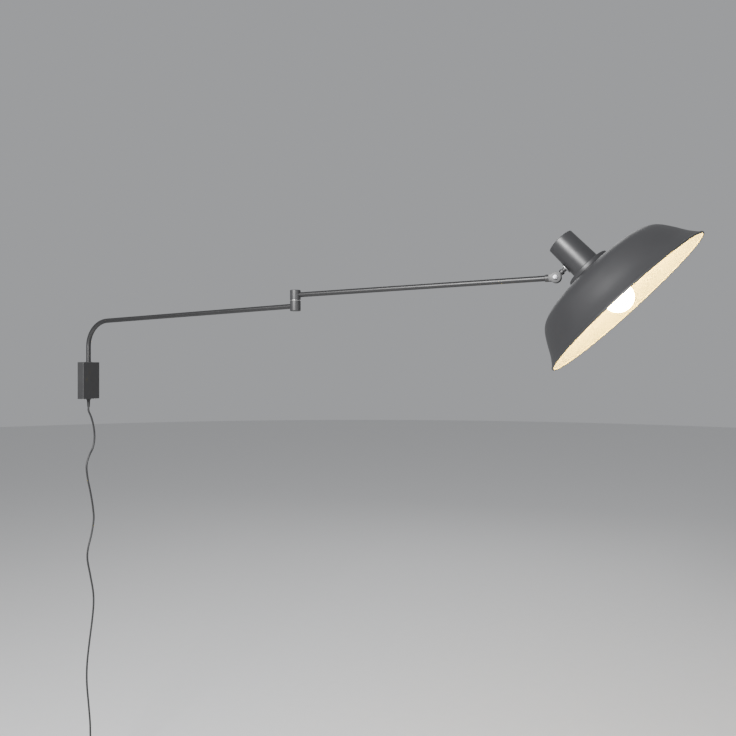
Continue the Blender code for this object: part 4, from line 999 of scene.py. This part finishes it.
def elbow():
    """Two stacked sleeves with their caps, and the bright washer between them."""
    sleeve("lower_sleeve", "elbow_lower_sleeve", LOWER_LINE, -1, "lower_arm")
    sleeve("upper_sleeve", "elbow_upper_sleeve", UPPER_LINE, 1, "upper_arm")
    elbow_cap("lower_sleeve_cap", "elbow_lower_cap", LOWER_LINE, -1, "lower_arm")
    elbow_cap("upper_sleeve_cap", "elbow_upper_cap", UPPER_LINE, 1, "upper_arm")
    half = WASHER_THICK / 2
    outline = [
        (BOLT_HOLE, half),
        (SLEEVE_RADIUS, half),
        (SLEEVE_RADIUS + 0.0002, 0),
        (SLEEVE_RADIUS, -half),
        (BOLT_HOLE, -half),
    ]
    rounded = filleted(outline, 0.0002, closed=True)
    washer = lathe("swivel_washer", rounded, Matrix.Translation(ELBOW))
    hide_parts("elbow_washer")
    finished(washer, BRIGHT, "lower_arm")


# ---------------------------------------------------------------- knuckle

COLLAR_TO_PIVOT = 0.0133
COLLAR_LENGTH = 0.0086
COLLAR_RADIUS = 0.0076
CHEEK_INNER = 0.0026 + 0.0008 + 2 * GAP  # half the tongue, a friction washer and their gaps
CHEEK_OUTER = CHEEK_INNER + 0.0035
CHEEK_RADIUS = 0.0110
CHEEK_NECK = 0.0068
BRIDGE_END = 0.0116
BRIDGE_HALF_HEIGHT = 0.0066
SCREW_RADIUS = 0.0050
SCREW_HEAD = 0.0022
SCREW_SLOT = 0.00055  # half its width
SCREW_TURN = math.radians(35)
ARM_END = Matrix.Translation(KNUCKLE) @ Matrix.Rotation(-UPPER_RISE, 4, "Y")


def upper_arm():
    """The tube from the elbow to the knuckle's collar."""
    slope = math.tan(UPPER_RISE)
    start = ELBOW.x + SLEEVE_RADIUS - SLEEVE_WALL
    end = KNUCKLE.x - COLLAR_TO_PIVOT - COLLAR_LENGTH
    points = [
        (x, 0, UPPER_LINE + (x - ELBOW.x) * slope)
        for x in (start, start + 0.05, (start + end) / 2, end - 0.05, end)
    ]
    arm = tube("upper_tube", points, TUBE_RADIUS, ARM_RESOLUTION)
    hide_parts("upper_arm_tube")
    # painted shade: the tube's coat is darker than the same coat on the sleeves and box
    finished(arm, SHADED_TUBE_POWDER, "upper_arm")


def fork():
    """Collar on the arm's end, with a bridge and two round cheeks."""
    near, far = -COLLAR_TO_PIVOT, -COLLAR_TO_PIVOT - COLLAR_LENGTH
    outline = [
        (0, near),
        (COLLAR_RADIUS - 0.0004, near),
        (COLLAR_RADIUS, near - 0.0006),
        (COLLAR_RADIUS, far + 0.0008),
        (COLLAR_RADIUS - 0.0008, far),
        (0, far),
    ]
    collar = lathe(
        "arm_collar", filleted(outline, 0.0003), ARM_END @ ALONG_X, closed=False, steps=72
    )
    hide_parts("tilt_fork")
    finished(collar, POWDER, "upper_arm")
    root = near - 0.001
    bridge = rounded_block(
        "fork_bridge",
        (root, -CHEEK_INNER - 0.0005, -BRIDGE_HALF_HEIGHT),
        (-BRIDGE_END, CHEEK_INNER + 0.0005, BRIDGE_HALF_HEIGHT),
        0.0002,
        ARM_END,
    )
    finished(bridge, POWDER, "upper_arm")
    reach = math.degrees(math.asin(CHEEK_NECK / CHEEK_RADIUS))
    outline = [(root, -CHEEK_NECK)]
    for i in range(33):
        angle = math.radians(-180 + reach + (360 - 2 * reach) * i / 32)
        outline.append((CHEEK_RADIUS * math.cos(angle), CHEEK_RADIUS * math.sin(angle)))
    outline.append((root, CHEEK_NECK))
    middle = (CHEEK_INNER + CHEEK_OUTER) / 2
    for name, side in (("fork_cheek_near", -1), ("fork_cheek_far", 1)):
        where = ARM_END @ Matrix.Translation((0, side * middle, 0))
        cheek = plate(name, outline, CHEEK_OUTER - CHEEK_INNER, where, edge=0.0005)
        finished(cheek, POWDER, "upper_arm")


def tilt_screw():
    """Slotted cheese head on the near side: two half discs on a thin base."""
    face = -CHEEK_OUTER - GAP
    half_head = SCREW_HEAD * 0.5
    turn = ARM_END @ Matrix.Rotation(SCREW_TURN, 4, "Y")
    where = turn @ Matrix.Translation((0, face - SCREW_HEAD * 0.75, 0))
    start = math.asin((SCREW_SLOT + 0.0001) / SCREW_RADIUS)
    for number, side in enumerate((-1, 1), 1):
        outline = []
        for i in range(25):
            angle = start + (math.pi - 2 * start) * i / 24
            outline.append(
                (SCREW_RADIUS * math.cos(angle), side * SCREW_RADIUS * math.sin(angle))
            )
        half = plate(f"screw_head_{number}", outline, half_head, where, edge=0.00025)
        if number == 1:
            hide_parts("tilt_screw")
        finished(half, GUNMETAL, "upper_arm")
    outline = [
        (0, face),
        (SCREW_RADIUS, face),
        (SCREW_RADIUS, face - half_head),
        (0, face - half_head),
    ]
    base = lathe(
        "screw_head_base", filleted(outline, 0.0002), ARM_END @ ALONG_Y, closed=False, steps=64
    )
    finished(base, GUNMETAL, "upper_arm")


lower_arm()
elbow()
upper_arm()
fork()
tilt_screw()

# ---------------------------------------------------------------- wall box

BUSH_RADIUS = 0.0085
GLAND_FLANGE = 0.0022
GLAND_RADIUS = 0.0062
GLAND_RIBS = 7


def bushing():
    """The ring round the tube, where it leaves the box."""
    top = BOX_HEIGHT / 2 + GAP
    bore = TUBE_RADIUS + 0.0002
    outline = [
        (bore, top + 0.0008),
        (BUSH_RADIUS - 0.0005, top + 0.0008),
        (BUSH_RADIUS, top + 0.0003),
        (BUSH_RADIUS, top - 0.0004),
        (bore, top - 0.0004),
    ]
    made = lathe(
        "box_bushing",
        filleted(outline, 0.0003, closed=True),
        Matrix.Translation((ARM_AXIS.x, 0, 0)),
        steps=72,
    )
    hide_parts("swivel_bushing")
    finished(made, NYLON, "wall_unit")


def gland():
    """Round flange and a tapered strain relief with shallow ribs."""
    high = -BOX_HEIGHT / 2 - GAP
    under = high - GLAND_FLANGE
    bore = CORD_RADIUS + 0.0001
    outline = [
        (bore, high),
        (GLAND_RADIUS - 0.0002, high),
        (GLAND_RADIUS, high - 0.0004),
        (GLAND_RADIUS, under + 0.0004),
        (GLAND_RADIUS - 0.0004, under),
    ]
    ribbed = under - GLAND_END - 0.0016
    step = ribbed / GLAND_RIBS
    for i in range(GLAND_RIBS):
        wide = 0.0045 - 0.0010 * i / GLAND_RIBS
        z = under - 0.0008 - i * step
        outline += [
            (wide, z),
            (wide - 0.0001, z - step * 0.62),
            (wide - 0.0006, z - step * 0.70),
            (wide - 0.0006, z - step * 0.92),
        ]
    outline += [(0.0034, GLAND_END + 0.0008), (0.0032, GLAND_END), (bore, GLAND_END)]
    made = lathe(
        "strain_relief", outline, Matrix.Translation((ARM_AXIS.x, 0, 0)), steps=48
    )
    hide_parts("cable_gland")
    finished(made, PLASTIC, "wall_unit")


bushing()
gland()

# ---------------------------------------------------------------- finishes of the CAD pieces

FINISHES = {
    "powder_coat": POWDER,
    "shade_coat": SHADE_OUT,
    "zinc_steel": ZINC,
    "block_alloy": ALLOY,
    "bright_steel": BRIGHT,
    "nylon": NYLON,
    "black_plastic": PLASTIC,
    "cord_sheath": SHEATH,
    "holder_plastic": THERMOSET,
    "terminal_plastic": TERMINAL,
    "brass": BRASS,
    "lamp_cap": LAMP_CAP,
    "cap_insulator": INSULATOR,
    "opal_glass": OPAL,
}
for entry in frame["record"]["subparts"]:
    node = frame["nodes"][entry["node"]]
    node.data.materials.clear()
    node.data.materials.append(FINISHES[entry["material_slot"]])

# ---------------------------------------------------------------- studio

FLOOR_RADIUS = 14
FLOOR_CENTRE = (0.7, 0)
FLOOR_DROP = 0.012  # below the model's lowest point
WORLD_COLOUR = (0.62, 0.63, 0.65, 1)
WORLD_STRENGTH = 0.60
# name, place, target, width and height in metres, power in watts
LIGHTS = (
    ("key", (0.66, -2.5, 0.95), (1.3, 0, 0.2), (0.85, 0.85), 185),
    ("arm_key", (-0.1, -2.0, 1.35), (0.3, 0, 0.1), (1.0, 0.5), 10),
    ("side_fill", (3.4, -1.4, 0.5), (0.1, 0, 0.0), (1.2, 1.2), 22),
    ("back_fill", (0.4, 3.0, 1.6), (0.8, 0, 0.0), (1.6, 1.6), 14),
)


def area_light(name, place, target, size, power):
    data = bpy.data.lights.new(name, "AREA")
    data.shape = "RECTANGLE"
    data.size, data.size_y = size
    data.energy = power
    lamp = bpy.data.objects.new(name, data)
    lamp.location = place
    lamp.rotation_euler = (Vector(target) - Vector(place)).to_track_quat("-Z", "Y").to_euler()
    bpy.context.scene.collection.objects.link(lamp)


def studio():
    """A plain pale floor, an even grey world and soft lights."""
    floor_mesh = bpy.data.meshes.new("floor")
    shape = bmesh.new()
    bmesh.ops.create_circle(shape, cap_ends=True, radius=FLOOR_RADIUS, segments=96)
    shape.to_mesh(floor_mesh)
    shape.free()
    floor = bpy.data.objects.new("floor", floor_mesh)
    lowest = min(corner[2] for corner in cad_box)
    floor.location = (*FLOOR_CENTRE, lowest - FLOOR_DROP)
    bpy.context.scene.collection.objects.link(floor)
    floor_mesh.materials.append(
        surface("floor_plain", (0.80, 0.80, 0.80), 0.9, mottle=0.01, grain_height=0.0)
    )

    world = bpy.data.worlds.new("studio")
    bpy.context.scene.world = world
    world.use_nodes = True
    back = world.node_tree.nodes["Background"]
    socket(back, "Color", WORLD_COLOUR)
    socket(back, "Strength", WORLD_STRENGTH)
    for light in LIGHTS:
        area_light(*light)


studio()
